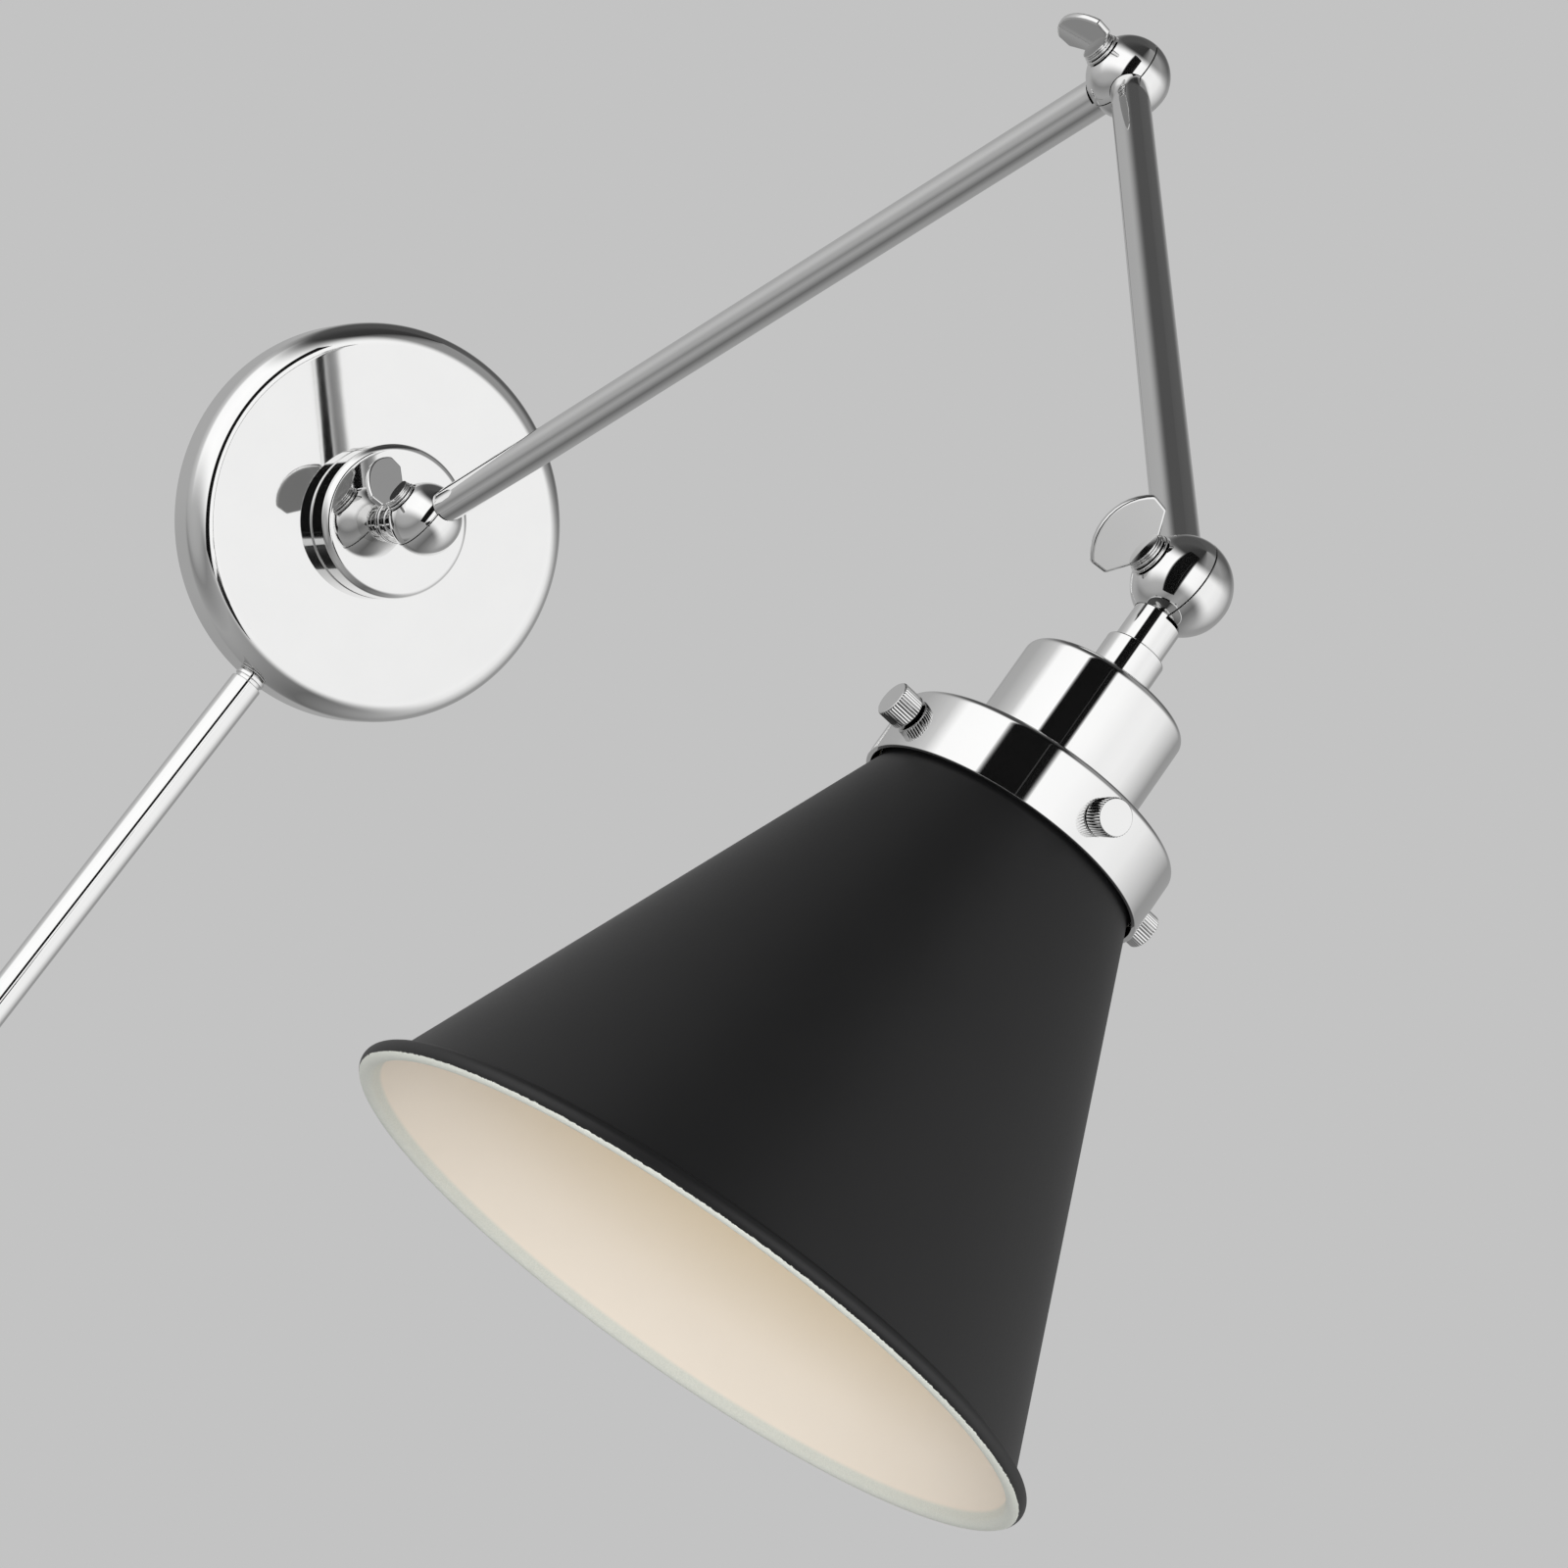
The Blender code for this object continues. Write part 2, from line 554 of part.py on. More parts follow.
def add_neck(head):
    place = {"parent": head, "rotation": OUTWARD}
    profile = ring_profile(NECK_RADIUS - NECK_WALL, NECK_RADIUS, CAVITY_RADIUS + GAP, NECK_END)
    neck = turned("neck_tube", profile, "polished_nickel", TUBE_STEPS, **place)
    combine(neck, add_dome_cutter("neck_lap", "far", head, (0, 0, 0)))
    bore = NECK_RADIUS + GAP
    sleeve_bottom = CAP_TOP - GAP
    sleeve = ring_profile(bore, bore + SLEEVE_WALL, sleeve_bottom - SLEEVE_LENGTH, sleeve_bottom)
    turned("neck_sleeve", sleeve, "polished_nickel", TUBE_STEPS, **place)
    nut_top = CAP_TOP + SHEET + GAP
    hex_nut("neck_nut", bore, NECK_NUT_ACROSS, nut_top, nut_top + NECK_NUT_HEIGHT, **place)


def add_cap(head):
    profile = cup_profile(CAP_RADIUS, SHEET, CAP_EDGE, CAP_TOP, COLLAR_TOP - GAP, NECK_RADIUS + GAP)
    turned("socket_cap", profile, "polished_nickel", CAP_STEPS, parent=head, rotation=OUTWARD)


def add_lampholder(head):
    """A screw-shell lampholder on the end of the neck, with the ring that clamps the collar."""
    place = {"parent": head, "rotation": OUTWARD}
    outer = (LAMPHOLDER_RADIUS, LAMPHOLDER_WALL, LAMPHOLDER_EDGE)
    body = cup_profile(*outer, LAMPHOLDER_TOP, LAMPHOLDER_BOTTOM, NECK_RADIUS + GAP, 2)
    turned("lampholder_body", body, "black_phenolic", TUBE_STEPS, **place)
    top = LAMPHOLDER_TOP + LAMPHOLDER_WALL + GAP
    lip_bottom = top + 2 * SHELL_SHEET
    bottom = LAMPHOLDER_BOTTOM - SHELL_RECESS
    inner = SHELL_RADIUS - SHELL_SHEET
    lip = SHELL_RADIUS - SHELL_LIP
    shell = [(SHELL_RADIUS, top), (SHELL_RADIUS, bottom), (inner, bottom), (inner, lip_bottom)]
    shell += [(lip, lip_bottom), (lip, top)]
    turned("screw_shell", shell, "brass", TUBE_STEPS, **place)
    pip_end = lip_bottom + CONTACT_PIP_HEIGHT
    contact = [(0, top), (lip - GAP, top), (lip - GAP, lip_bottom), (CONTACT_PIP_RADIUS, lip_bottom)]
    contact += [(CONTACT_PIP_RADIUS * 0.8, pip_end), (0, pip_end)]
    turned("centre_contact", contact, "brass", TUBE_STEPS, **place)
    ring_top = COLLAR_TOP + SHEET + GAP
    bore = LAMPHOLDER_RADIUS + GAP
    ring = ring_profile(bore, bore + CLAMP_RING, ring_top, ring_top + CLAMP_RING)
    turned("collar_clamp_ring", ring, "black_phenolic", TUBE_STEPS, **place)


def add_collar(head):
    hole = LAMPHOLDER_RADIUS + GAP
    profile = cup_profile(COLLAR_RADIUS, SHEET, COLLAR_EDGE, COLLAR_TOP, COLLAR_BOTTOM, hole)
    place = {"parent": head, "rotation": OUTWARD}
    collar = turned("shade_collar", profile, "polished_nickel", CAP_STEPS, **place)
    reach = (COLLAR_RADIUS - SHEET - OVERRUN, COLLAR_RADIUS + OVERRUN)
    for _, rotation in thumb_directions():
        place = {"parent": head, "location": (0, -THUMB_HEIGHT, 0), "rotation": rotation}
        drill(collar, THUMB_SHANK + GAP, *reach, steps=SMALL_STEPS, **place)


def thumb_directions():
    return (("left", LEFT), ("front", UP), ("right", RIGHT), ("back", DOWN))


def add_thumbscrews(head):
    """Four screws through the collar, whose tips clamp the neck of the shade."""
    tip = SHADE_NECK_RADIUS + GAP
    seat = COLLAR_RADIUS + THUMB_STAND_OFF
    outer = seat + THUMB_HEAD_LENGTH
    bevel = THUMB_BEVEL
    rim = THUMB_HEAD_RADIUS
    profile = [(0, tip), (THUMB_SHANK, tip), (THUMB_SHANK, seat), (rim - bevel, seat)]
    profile += [(rim, seat + bevel), (rim, outer - bevel), (rim - bevel, outer), (0, outer)]
    for name, rotation in thumb_directions():
        place = {"parent": head, "location": (0, -THUMB_HEIGHT, 0), "rotation": rotation}
        turned("thumbscrew_" + name, profile, "polished_nickel", SMALL_STEPS, **place)


def add_shade(head):
    """A spun cone with a short cylindrical neck inside the collar and a rolled bead at its rim."""
    neck_top = COLLAR_TOP + SHEET + SHADE_NECK_CLEARANCE
    neck_inside = SHADE_NECK_RADIUS - SHADE_SHEET
    bead_center = (SHADE_RIM_RADIUS - BEAD_RADIUS, SHADE_RIM - BEAD_RADIUS)
    run = bead_center[0] - neck_inside
    drop = bead_center[1] - COLLAR_BOTTOM
    lean = atan2(run, drop) - asin(BEAD_RADIUS / hypot(run, drop))
    shoulder = COLLAR_BOTTOM - SHADE_SHEET * (1 / cos(lean) - 1) / tan(lean)
    inner_end = 180 - degrees(lean)
    outer_start = inner_end + degrees(acos(1 - SHADE_SHEET / BEAD_RADIUS)) - 360
    outer = [(SHADE_NECK_RADIUS, neck_top), (SHADE_NECK_RADIUS, shoulder)]
    bead = arc(bead_center, BEAD_RADIUS, outer_start, inner_end, 7)
    inner = [(neck_inside, COLLAR_BOTTOM), (neck_inside, neck_top)]
    place = {"parent": head, "rotation": OUTWARD}
    turned("shade", outer + bead + inner, "black_paint", SHADE_STEPS, **place)


def build():
    wall = add_empty("wall_frame")
    add_canopy(wall)
    add_bracket(wall)
    add_side_screws(wall)
    add_cord_tube(wall)

    swivel = add_empty("swivel_axis", wall)
    add_boss(swivel)
    add_stem(swivel)
    wall_center = (0, -WALL_BALL, 0)
    add_ball_half("stem_ball_half", "far", swivel, wall_center, NIPPLE_RADIUS, INWARD)

    lower = add_empty("wall_pivot", swivel, wall_center, (-radians(LOWER_ARM_LIFT), 0, 0))
    add_arm("lower_arm_tube", "lower_arm_wall_half", "lower_arm_elbow_half", lower, LOWER_ARM_LENGTH)

    bend = radians(LOWER_ARM_LIFT + UPPER_ARM_DROP)
    elbow_center = (0, -LOWER_ARM_LENGTH, 0)
    upper = add_empty("elbow_pivot", lower, elbow_center, (bend, 0, 0))
    add_arm("upper_arm_tube", "upper_arm_elbow_half", "upper_arm_head_half", upper, UPPER_ARM_LENGTH)

    head_center = (0, -UPPER_ARM_LENGTH, 0)
    head = add_empty("head_pivot", upper, head_center, (radians(HEAD_DROP - UPPER_ARM_DROP), 0, 0))
    add_ball_half("head_ball_half", "near", head, (0, 0, 0), NECK_RADIUS, OUTWARD)
    add_neck(head)
    add_cap(head)
    add_lampholder(head)
    add_collar(head)
    add_thumbscrews(head)
    add_shade(head)

    origin = (0, 0, 0)
    add_pivot_hardware("wall", lower, swivel, origin, wall_center)
    add_pivot_hardware("elbow", upper, lower, origin, elbow_center)
    add_pivot_hardware("head", head, upper, origin, head_center)


clear_scene()
MATERIALS = {name: make_material(name) for name in FINISHES}
build()
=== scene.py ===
from math import acos, asin, atan2, cos, degrees, hypot, pi, radians, sin, tan

import bmesh
import bpy
from mathutils import Matrix, Vector
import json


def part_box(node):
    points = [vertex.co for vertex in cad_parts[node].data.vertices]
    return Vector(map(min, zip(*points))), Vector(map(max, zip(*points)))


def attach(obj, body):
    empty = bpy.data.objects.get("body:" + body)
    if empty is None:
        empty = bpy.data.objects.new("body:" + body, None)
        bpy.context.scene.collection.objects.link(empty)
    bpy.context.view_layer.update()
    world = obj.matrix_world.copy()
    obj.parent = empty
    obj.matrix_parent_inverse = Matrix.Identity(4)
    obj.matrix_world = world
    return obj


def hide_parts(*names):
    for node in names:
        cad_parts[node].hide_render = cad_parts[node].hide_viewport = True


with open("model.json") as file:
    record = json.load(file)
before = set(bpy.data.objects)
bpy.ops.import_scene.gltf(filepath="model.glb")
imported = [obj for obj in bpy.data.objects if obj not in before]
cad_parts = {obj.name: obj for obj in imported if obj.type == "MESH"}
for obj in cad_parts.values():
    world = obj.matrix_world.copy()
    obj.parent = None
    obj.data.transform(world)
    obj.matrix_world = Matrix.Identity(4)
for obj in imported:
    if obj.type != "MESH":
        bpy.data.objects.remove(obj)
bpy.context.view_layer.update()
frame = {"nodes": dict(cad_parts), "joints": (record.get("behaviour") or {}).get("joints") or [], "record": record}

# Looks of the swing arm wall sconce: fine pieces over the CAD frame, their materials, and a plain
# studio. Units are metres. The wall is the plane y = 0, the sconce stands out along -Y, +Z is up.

RECORD = frame["record"]
BODY_OF = {node: body for body, nodes in RECORD["behaviour"]["bodies"].items() for node in nodes}
JOINTS = {joint["name"]: joint for joint in frame["joints"]}

# Facets round a piece: the large ones, the middling ones and the small ones.
LARGE = 192
ROUND = 128
SMALL = 64

# Directions, and the places that the joints give.
ACROSS = Vector((1, 0, 0))
UP = Vector((0, 0, 1))
OUT = Vector((0, -1, 0))
WALL = Vector((0, 0, 0))
WALL_BALL = Vector(JOINTS["wall_pivot"]["pos_m"])
ELBOW_BALL = Vector(JOINTS["elbow_pivot"]["pos_m"])
HEAD_BALL = Vector(JOINTS["head_pivot"]["pos_m"])
THUMB_CENTRE = Vector(JOINTS["front_thumbscrew_turn"]["pos_m"])
LOWER = (ELBOW_BALL - WALL_BALL).normalized()
UPPER = (HEAD_BALL - ELBOW_BALL).normalized()
HEAD = (THUMB_CENTRE - HEAD_BALL).normalized()
PIVOTS = {"wall": WALL_BALL, "elbow": ELBOW_BALL, "head": HEAD_BALL}

# Sheet walls, clearances, and the radius that eases an edge that the CAD leaves sharp.
SHEET = 0.0012
SHADE_SHEET = 0.0009
GAP = 0.0003
FIT = 0.00012
SWEEP = 0.0007
EASED = 0.00025


# Reading the frame


def along(node, origin, axis):
    """The lowest and highest distance of a CAD node's points from an origin, along an axis."""
    heights = [(v.co - origin).dot(axis) for v in frame["nodes"][node].data.vertices]
    return min(heights), max(heights)


def around(node, origin, axis):
    """The smallest and largest distance of a CAD node's points from an axis."""
    radii = []
    for vert in frame["nodes"][node].data.vertices:
        offset = vert.co - origin
        radii.append((offset - axis * offset.dot(axis)).length)
    return min(radii), max(radii)


def placing(origin, axis, across=ACROSS):
    """The matrix that lays local Z along an axis and local X as near as can be to another."""
    z = axis.normalized()
    y = z.cross(across).normalized()
    x = y.cross(z)
    return Matrix.Translation(origin) @ Matrix((x, y, z)).transposed().to_4x4()


# Mesh tools


def fillet(before, corner, after, radius, steps):
    """The arc that rounds a corner of an outline, with a short flat run at either end of it."""
    corner = Vector(corner[:2])
    to_before = Vector(before[:2]) - corner
    to_after = Vector(after[:2]) - corner
    half = to_before.angle(to_after) / 2
    tangent = min(radius / tan(half), to_before.length * 0.48, to_after.length * 0.48)
    radius = tangent * tan(half)
    run = min(radius * 0.25, to_before.length * 0.02, to_after.length * 0.02)
    to_before.normalize()
    to_after.normalize()
    centre = corner + (to_before + to_after).normalized() * radius / sin(half)
    start = corner + to_before * tangent - centre
    turn = start.angle_signed(corner + to_after * tangent - centre)
    points = [corner + to_before * (tangent + run)]
    for i in range(steps + 1):
        points.append(centre + Matrix.Rotation(-turn * i / steps, 2) @ start)
    points.append(corner + to_after * (tangent + run))
    return [tuple(point) for point in points]


def rounded(corners, closed=True, steps=6):
    """An outline from its corners. A third number on a corner is the radius that rounds it."""
    outline = []
    for i, corner in enumerate(corners):
        inner = closed or 0 < i < len(corners) - 1
        if len(corner) < 3 or not inner:
            outline.append(tuple(corner[:2]))
            continue
        before = corners[i - 1]
        after = corners[(i + 1) % len(corners)]
        outline += fillet(before, corner, after, corner[2], steps)
    return outline


def arc(centre, radius, start, end, steps):
    """Points on an arc between two angles in degrees, both ends included."""
    angles = [radians(start + (end - start) * i / steps) for i in range(steps + 1)]
    return [(centre[0] + radius * cos(a), centre[1] + radius * sin(a)) for a in angles]


def smooth(mesh):
    mesh.shade_smooth()
    mesh.set_sharp_from_angle(angle=radians(30))


def new_object(name, bm, at):
    bmesh.ops.recalc_face_normals(bm, faces=bm.faces)
    mesh = bpy.data.meshes.new(name)
    bm.to_mesh(mesh)
    bm.free()
    smooth(mesh)
    obj = bpy.data.objects.new(name, mesh)
    bpy.context.scene.collection.objects.link(obj)
    obj.matrix_world = at
    return obj


def lathe(name, outline, at, steps=ROUND, shape=None):
    """Spins an outline of (radius, height) points round local Z. An outline that starts and ends
    on the axis stays open there, and any other closes on itself. A shape function may move each
    point, from its radius, height and angle to a new radius."""
    bm = bmesh.new()
    rings = []
    for radius, height in outline:
        ring = []
        for i in range(steps if radius > 1e-7 else 1):
            angle = 2 * pi * i / steps
            reach = shape(radius, height, angle) if shape else radius
            ring.append(bm.verts.new((reach * cos(angle), reach * sin(angle), height)))
        rings.append(ring)
    pairs = list(zip(rings, rings[1:]))
    if len(rings[0]) > 1 or len(rings[-1]) > 1:
        pairs.append((rings[-1], rings[0]))
    for low, high in pairs:
        for i in range(steps):
            j = (i + 1) % steps
            corners = [low[i % len(low)], low[j % len(low)]]
            corners += [high[j % len(high)], high[i % len(high)]]
            bm.faces.new(list(dict.fromkeys(corners)))
    return new_object(name, bm, at)


def block(name, low, high, at):
    bm = bmesh.new()
    bmesh.ops.create_cube(bm, size=1)
    for vert in bm.verts:
        vert.co = [a + (b - a) * (c + 0.5) for a, b, c in zip(low, high, vert.co)]
    return new_object(name, bm, at)


def rod(name, radius, bottom, top, at, steps=SMALL):
    return lathe(name, [(0, bottom), (radius, bottom), (radius, top), (0, top)], at, steps)


def combine(obj, others, operation="DIFFERENCE"):
    """Cuts the other solids from this one, or joins them to it, and removes them."""
    for other in others:
        modifier = obj.modifiers.new(other.name, "BOOLEAN")
        modifier.operation = operation
        modifier.solver = "EXACT"
        modifier.object = other
    graph = bpy.context.evaluated_depsgraph_get()
    mesh = bpy.data.meshes.new_from_object(obj.evaluated_get(graph))
    obj.modifiers.clear()
    obj.data = mesh
    smooth(mesh)
    for other in others:
        bpy.data.objects.remove(other)
    return obj


def keep(obj, look, node):
    """The piece stands for a CAD node: it rides on its body, takes the given material, and the node is hidden."""
    obj.name = node + "_piece"
    obj.data.name = obj.name
    obj.data.materials.clear()
    obj.data.materials.append(look)
    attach(obj, BODY_OF[node])
    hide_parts(node)
    return obj


# Material tools


def add(tree, kind, inputs=(), **settings):
    """A shader node. Its inputs are values, or other nodes' outputs, by name or number."""
    node = tree.nodes.new("ShaderNode" + kind)
    for name, value in settings.items():
        setattr(node, name, value)
    for key, value in dict(inputs).items():
        if isinstance(value, bpy.types.NodeSocket):
            tree.links.new(value, node.inputs[key])
        else:
            node.inputs[key].default_value = value
    return node


def smoothstep(tree, value, start, end):
    """0 before the start, 1 past the end, and a soft curve between them."""
    inputs = {0: value, 1: start, 2: end}
    return add(tree, "MapRange", inputs, interpolation_type="SMOOTHSTEP").outputs[0]


def math(tree, operation, *values):
    return add(tree, "Math", enumerate(values), operation=operation).outputs[0]


def ramp(tree, value, stops, interpolation="LINEAR"):
    """A colour ramp of (position, grey level or colour) stops."""
    node = add(tree, "ValToRGB", {"Fac": value})
    node.color_ramp.interpolation = interpolation
    elements = node.color_ramp.elements
    while len(elements) < len(stops):
        elements.new(1)
    for element, (position, level) in zip(elements, stops):
        element.position = position
        element.color = (*level, 1) if isinstance(level, tuple) else (level, level, level, 1)
    return node.outputs["Color"]


def spread(tree, value, low, high):
    """A value from 0 to 1, laid between two others."""
    return add(tree, "MapRange", {"Value": value, "To Min": low, "To Max": high}).outputs["Result"]


def noise(tree, vector, scale, detail=3, roughness=0.5):
    inputs = {"Vector": vector, "Scale": scale, "Detail": detail, "Roughness": roughness}
    return add(tree, "TexNoise", inputs).outputs["Fac"]


def blend_colours(tree, factor, first, second):
    node = add(tree, "Mix", data_type="RGBA")
    sockets = (node.inputs[0], node.inputs[6], node.inputs[7])
    for socket, value in zip(sockets, (factor, first, second)):
        if isinstance(value, bpy.types.NodeSocket):
            tree.links.new(value, socket)
        else:
            socket.default_value = value
    return node.outputs[2]


def bump(tree, height, distance, strength=1.0, below=None):
    inputs = {"Height": height, "Distance": distance, "Strength": strength}
    if below:
        inputs["Normal"] = below
    return add(tree, "Bump", inputs).outputs["Normal"]


def new_material(name):
    material = bpy.data.materials.new(name)
    material.use_nodes = True
    tree = material.node_tree
    place = add(tree, "TexCoord").outputs["Object"]
    return material, tree, tree.nodes["Principled BSDF"], place


def scaled(tree, place, x, y, z):
    return add(tree, "Mapping", {"Vector": place, "Scale": (x, y, z)}).outputs["Vector"]


def polar(tree, place):
    """(distance from local Z, height, 0): what a lathe leaves its marks in."""
    parts = add(tree, "SeparateXYZ", {"Vector": place})
    flat = add(tree, "CombineXYZ", {"X": parts.outputs["X"], "Y": parts.outputs["Y"]})
    radius = add(tree, "VectorMath", {0: flat.outputs[0]}, operation="LENGTH").outputs["Value"]
    return add(tree, "CombineXYZ", {"X": radius, "Y": parts.outputs["Z"]}).outputs[0]


# Materials


def polished_nickel(name, marks):
    """Bright polished plate. Its buffing marks run round a turned piece, along a drawn tube, or
    every way on a flat one, and the plate keeps the faint waves of the metal under it."""
    material, tree, shader, place = new_material(name)
    if marks == "turned":
        grain_place = scaled(tree, polar(tree, place), 9000, 9000, 1)
    elif marks == "drawn":
        grain_place = scaled(tree, place, 5200, 5200, 45)
    else:
        grain_place = scaled(tree, place, 1400, 1400, 1400)
    grain = noise(tree, grain_place, 1.0, 4, 0.6)
    haze = noise(tree, place, 70, 4, 0.55)
    waves = noise(tree, place, 95, 1, 0.4)
    tint = blend_colours(tree, haze, (0.790, 0.790, 0.788, 1), (0.825, 0.824, 0.820, 1))
    tree.links.new(tint, shader.inputs["Base Color"])
    shader.inputs["Metallic"].default_value = 1.0
    wear = math(tree, "MULTIPLY", grain, haze)
    tree.links.new(spread(tree, wear, 0.020, 0.085), shader.inputs["Roughness"])
    rolling = bump(tree, waves, 0.000006)
    tree.links.new(bump(tree, grain, 0.0000004, 0.6, rolling), shader.inputs["Normal"])
    return material


def turned_metal(name, dark, light, low, high, lines):
    """Bare or zinc-plated metal with visible turning lines round local Z."""
    material, tree, shader, place = new_material(name)
    grain = noise(tree, scaled(tree, polar(tree, place), lines, lines, 1), 1.0, 3, 0.6)
    stain = noise(tree, place, 160, 4, 0.6)
    tree.links.new(blend_colours(tree, stain, dark, light), shader.inputs["Base Color"])
    shader.inputs["Metallic"].default_value = 1.0
    half_stain = math(tree, "MULTIPLY", stain, 0.5)
    mottle = math(tree, "ADD", math(tree, "MULTIPLY", grain, 0.5), half_stain)
    tree.links.new(spread(tree, mottle, low, high), shader.inputs["Roughness"])
    tree.links.new(bump(tree, grain, 0.000012), shader.inputs["Normal"])
    return material


def moulded(name, dark, light, low, high, grain_scale, painted_glow):
    """A moulded or pressed non-metal: fine pits and slow changes of colour and gloss."""
    material, tree, shader, place = new_material(name)
    pits = noise(tree, place, grain_scale, 4, 0.6)
    cloud = noise(tree, place, 120, 3, 0.5)
    tree.links.new(blend_colours(tree, cloud, dark, light), shader.inputs["Base Color"])
    tree.links.new(spread(tree, cloud, low, high), shader.inputs["Roughness"])
    tree.links.new(bump(tree, pits, painted_glow), shader.inputs["Normal"])
    return material


def shade_paint(cone):
    """Matte black outside and cream inside, yellower deeper in as a painted warm glow. The line
    between the coats runs over the bead, a little ragged, with a thin greyish band in the cream at the rim."""
    material, tree, shader, place = new_material("shade_paint")
    flat = add(tree, "SeparateXYZ", {"Vector": polar(tree, place)})
    radius, height = flat.outputs["X"], flat.outputs["Y"]
    middle = math(tree, "MULTIPLY_ADD", height, cone["slope"], cone["offset"])
    middle = math(tree, "MAXIMUM", middle, cone["neck"])
    ragged = spread(tree, noise(tree, place, 900, 5, 0.7), -0.00035, 0.00035)
    on_bead = math(tree, "GREATER_THAN", height, cone["bead_start"])
    off_bead = math(tree, "SUBTRACT", 1, on_bead)
    line = math(tree, "ADD", ragged, cone["paint_line"])
    edge = math(tree, "MULTIPLY", on_bead, line)
    edge = math(tree, "ADD", edge, math(tree, "MULTIPLY", off_bead, middle))
    black = math(tree, "GREATER_THAN", radius, edge)
    near_line = smoothstep(tree, height, cone["band_start"], cone["band_end"])
    speck = noise(tree, place, 2600, 4, 0.6)
    cloud = noise(tree, place, 30, 3, 0.5)
    black_coat = blend_colours(tree, cloud, (0.0045, 0.0045, 0.0048, 1), (0.0065, 0.0065, 0.0068, 1))
    cream = blend_colours(tree, cloud, (0.79, 0.715, 0.62, 1), (0.82, 0.75, 0.66, 1))
    # Painted warm glow: the cream is drawn yellower deeper inside the shade, where light gathers.
    painted_glow = smoothstep(tree, height, cone["painted_glow_start"], cone["painted_glow_end"])
    cream = blend_colours(tree, painted_glow, cream, (0.79, 0.66, 0.45, 1))
    # A thin speckled grey-green band in the cream at the rim, next to the bead.
    greyish_rim_band = blend_colours(tree, speck, (0.52, 0.54, 0.49, 1), (0.74, 0.75, 0.69, 1))
    cream = blend_colours(tree, near_line, cream, greyish_rim_band)
    tree.links.new(blend_colours(tree, black, cream, black_coat), shader.inputs["Base Color"])
    gloss = math(tree, "MULTIPLY_ADD", speck, 0.10, 0.40)
    tree.links.new(math(tree, "MULTIPLY_ADD", cloud, 0.05, gloss), shader.inputs["Roughness"])
    shader.inputs["Specular IOR Level"].default_value = 0.55
    peel = bump(tree, noise(tree, place, 900, 2, 0.5), 0.000008)
    tree.links.new(bump(tree, speck, 0.000004, 1.0, peel), shader.inputs["Normal"])
    return material


# Colours are (darker, lighter) pairs, and gloss is the lowest and highest roughness.
ZINC = ((0.50, 0.50, 0.51, 1), (0.66, 0.66, 0.66, 1))
YELLOW = ((0.68, 0.49, 0.21, 1), (0.82, 0.64, 0.33, 1))
BLACK = ((0.014, 0.014, 0.014, 1), (0.028, 0.027, 0.026, 1))
RED = ((0.22, 0.06, 0.035, 1), (0.36, 0.13, 0.08, 1))

NICKEL_TURNED = polished_nickel("nickel_turned", "turned")
NICKEL_DRAWN = polished_nickel("nickel_drawn", "drawn")
NICKEL_FLAT = polished_nickel("nickel_flat", "flat")
STEEL = turned_metal("zinc_plated_steel", *ZINC, 0.25, 0.48, 1500)
BRASS = turned_metal("turned_brass", *YELLOW, 0.18, 0.40, 2600)
PHENOLIC = moulded("black_phenolic", *BLACK, 0.30, 0.44, 800, 0.00001)
FIBRE = moulded("red_fibre", *RED, 0.60, 0.80, 1800, 0.00002)


# Wall canopy and what it holds

CANOPY_EDGE = 0.0075
SCREW_BORE = 0.0019
SCREW_HEAD = 0.0015
SCREW_DOME = 0.0012
SCREW_BEVEL = 0.0004


def add_canopy():
    bore, radius = around("wall_canopy", WALL, OUT)
    painted_glow = along("wall_canopy", WALL, OUT)[1]
    corners = [(bore, painted_glow - SHEET), (bore, painted_glow), (radius, painted_glow, CANOPY_EDGE)]
    corners += [(radius, 0, EASED), (radius - SHEET, 0, EASED)]
    corners += [(radius - SHEET, painted_glow - SHEET, CANOPY_EDGE - SHEET)]
    canopy = lathe("canopy", rounded(corners, steps=20), placing(WALL, OUT), LARGE)
    inside, outside = radius * 0.9, radius * 1.1
    holes = [
        rod("screw_hole", SCREW_BORE, inside, outside, placing(screw_centre(), side))
        for side in (-ACROSS, ACROSS)
    ]
    holes.append(rod("cord_hole", cord_bore(), inside, outside, placing(cord_centre(), -UP)))
    keep(combine(canopy, holes), NICKEL_TURNED, "wall_canopy")


def screw_centre():
    low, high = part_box("canopy_screw_left")
    return Vector((0, (low[1] + high[1]) / 2, 0))


def cord_centre():
    low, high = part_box("cord_tube")
    return Vector((0, (low[1] + high[1]) / 2, 0))


def cord_bore():
    """The hole in the canopy for the cord nipple, which is as wide as its part inside the tube."""
    return around("cord_tube", cord_centre(), -UP)[0]


def cut_slot(obj, half_length, half_width, top, painted_glow, at):
    """A screwdriver slot across the end of a screw or a nut."""
    above = top + 0.001
    low = (-half_length, -half_width, top - painted_glow)
    return combine(obj, [block("slot", low, (half_length, half_width, above), at)])


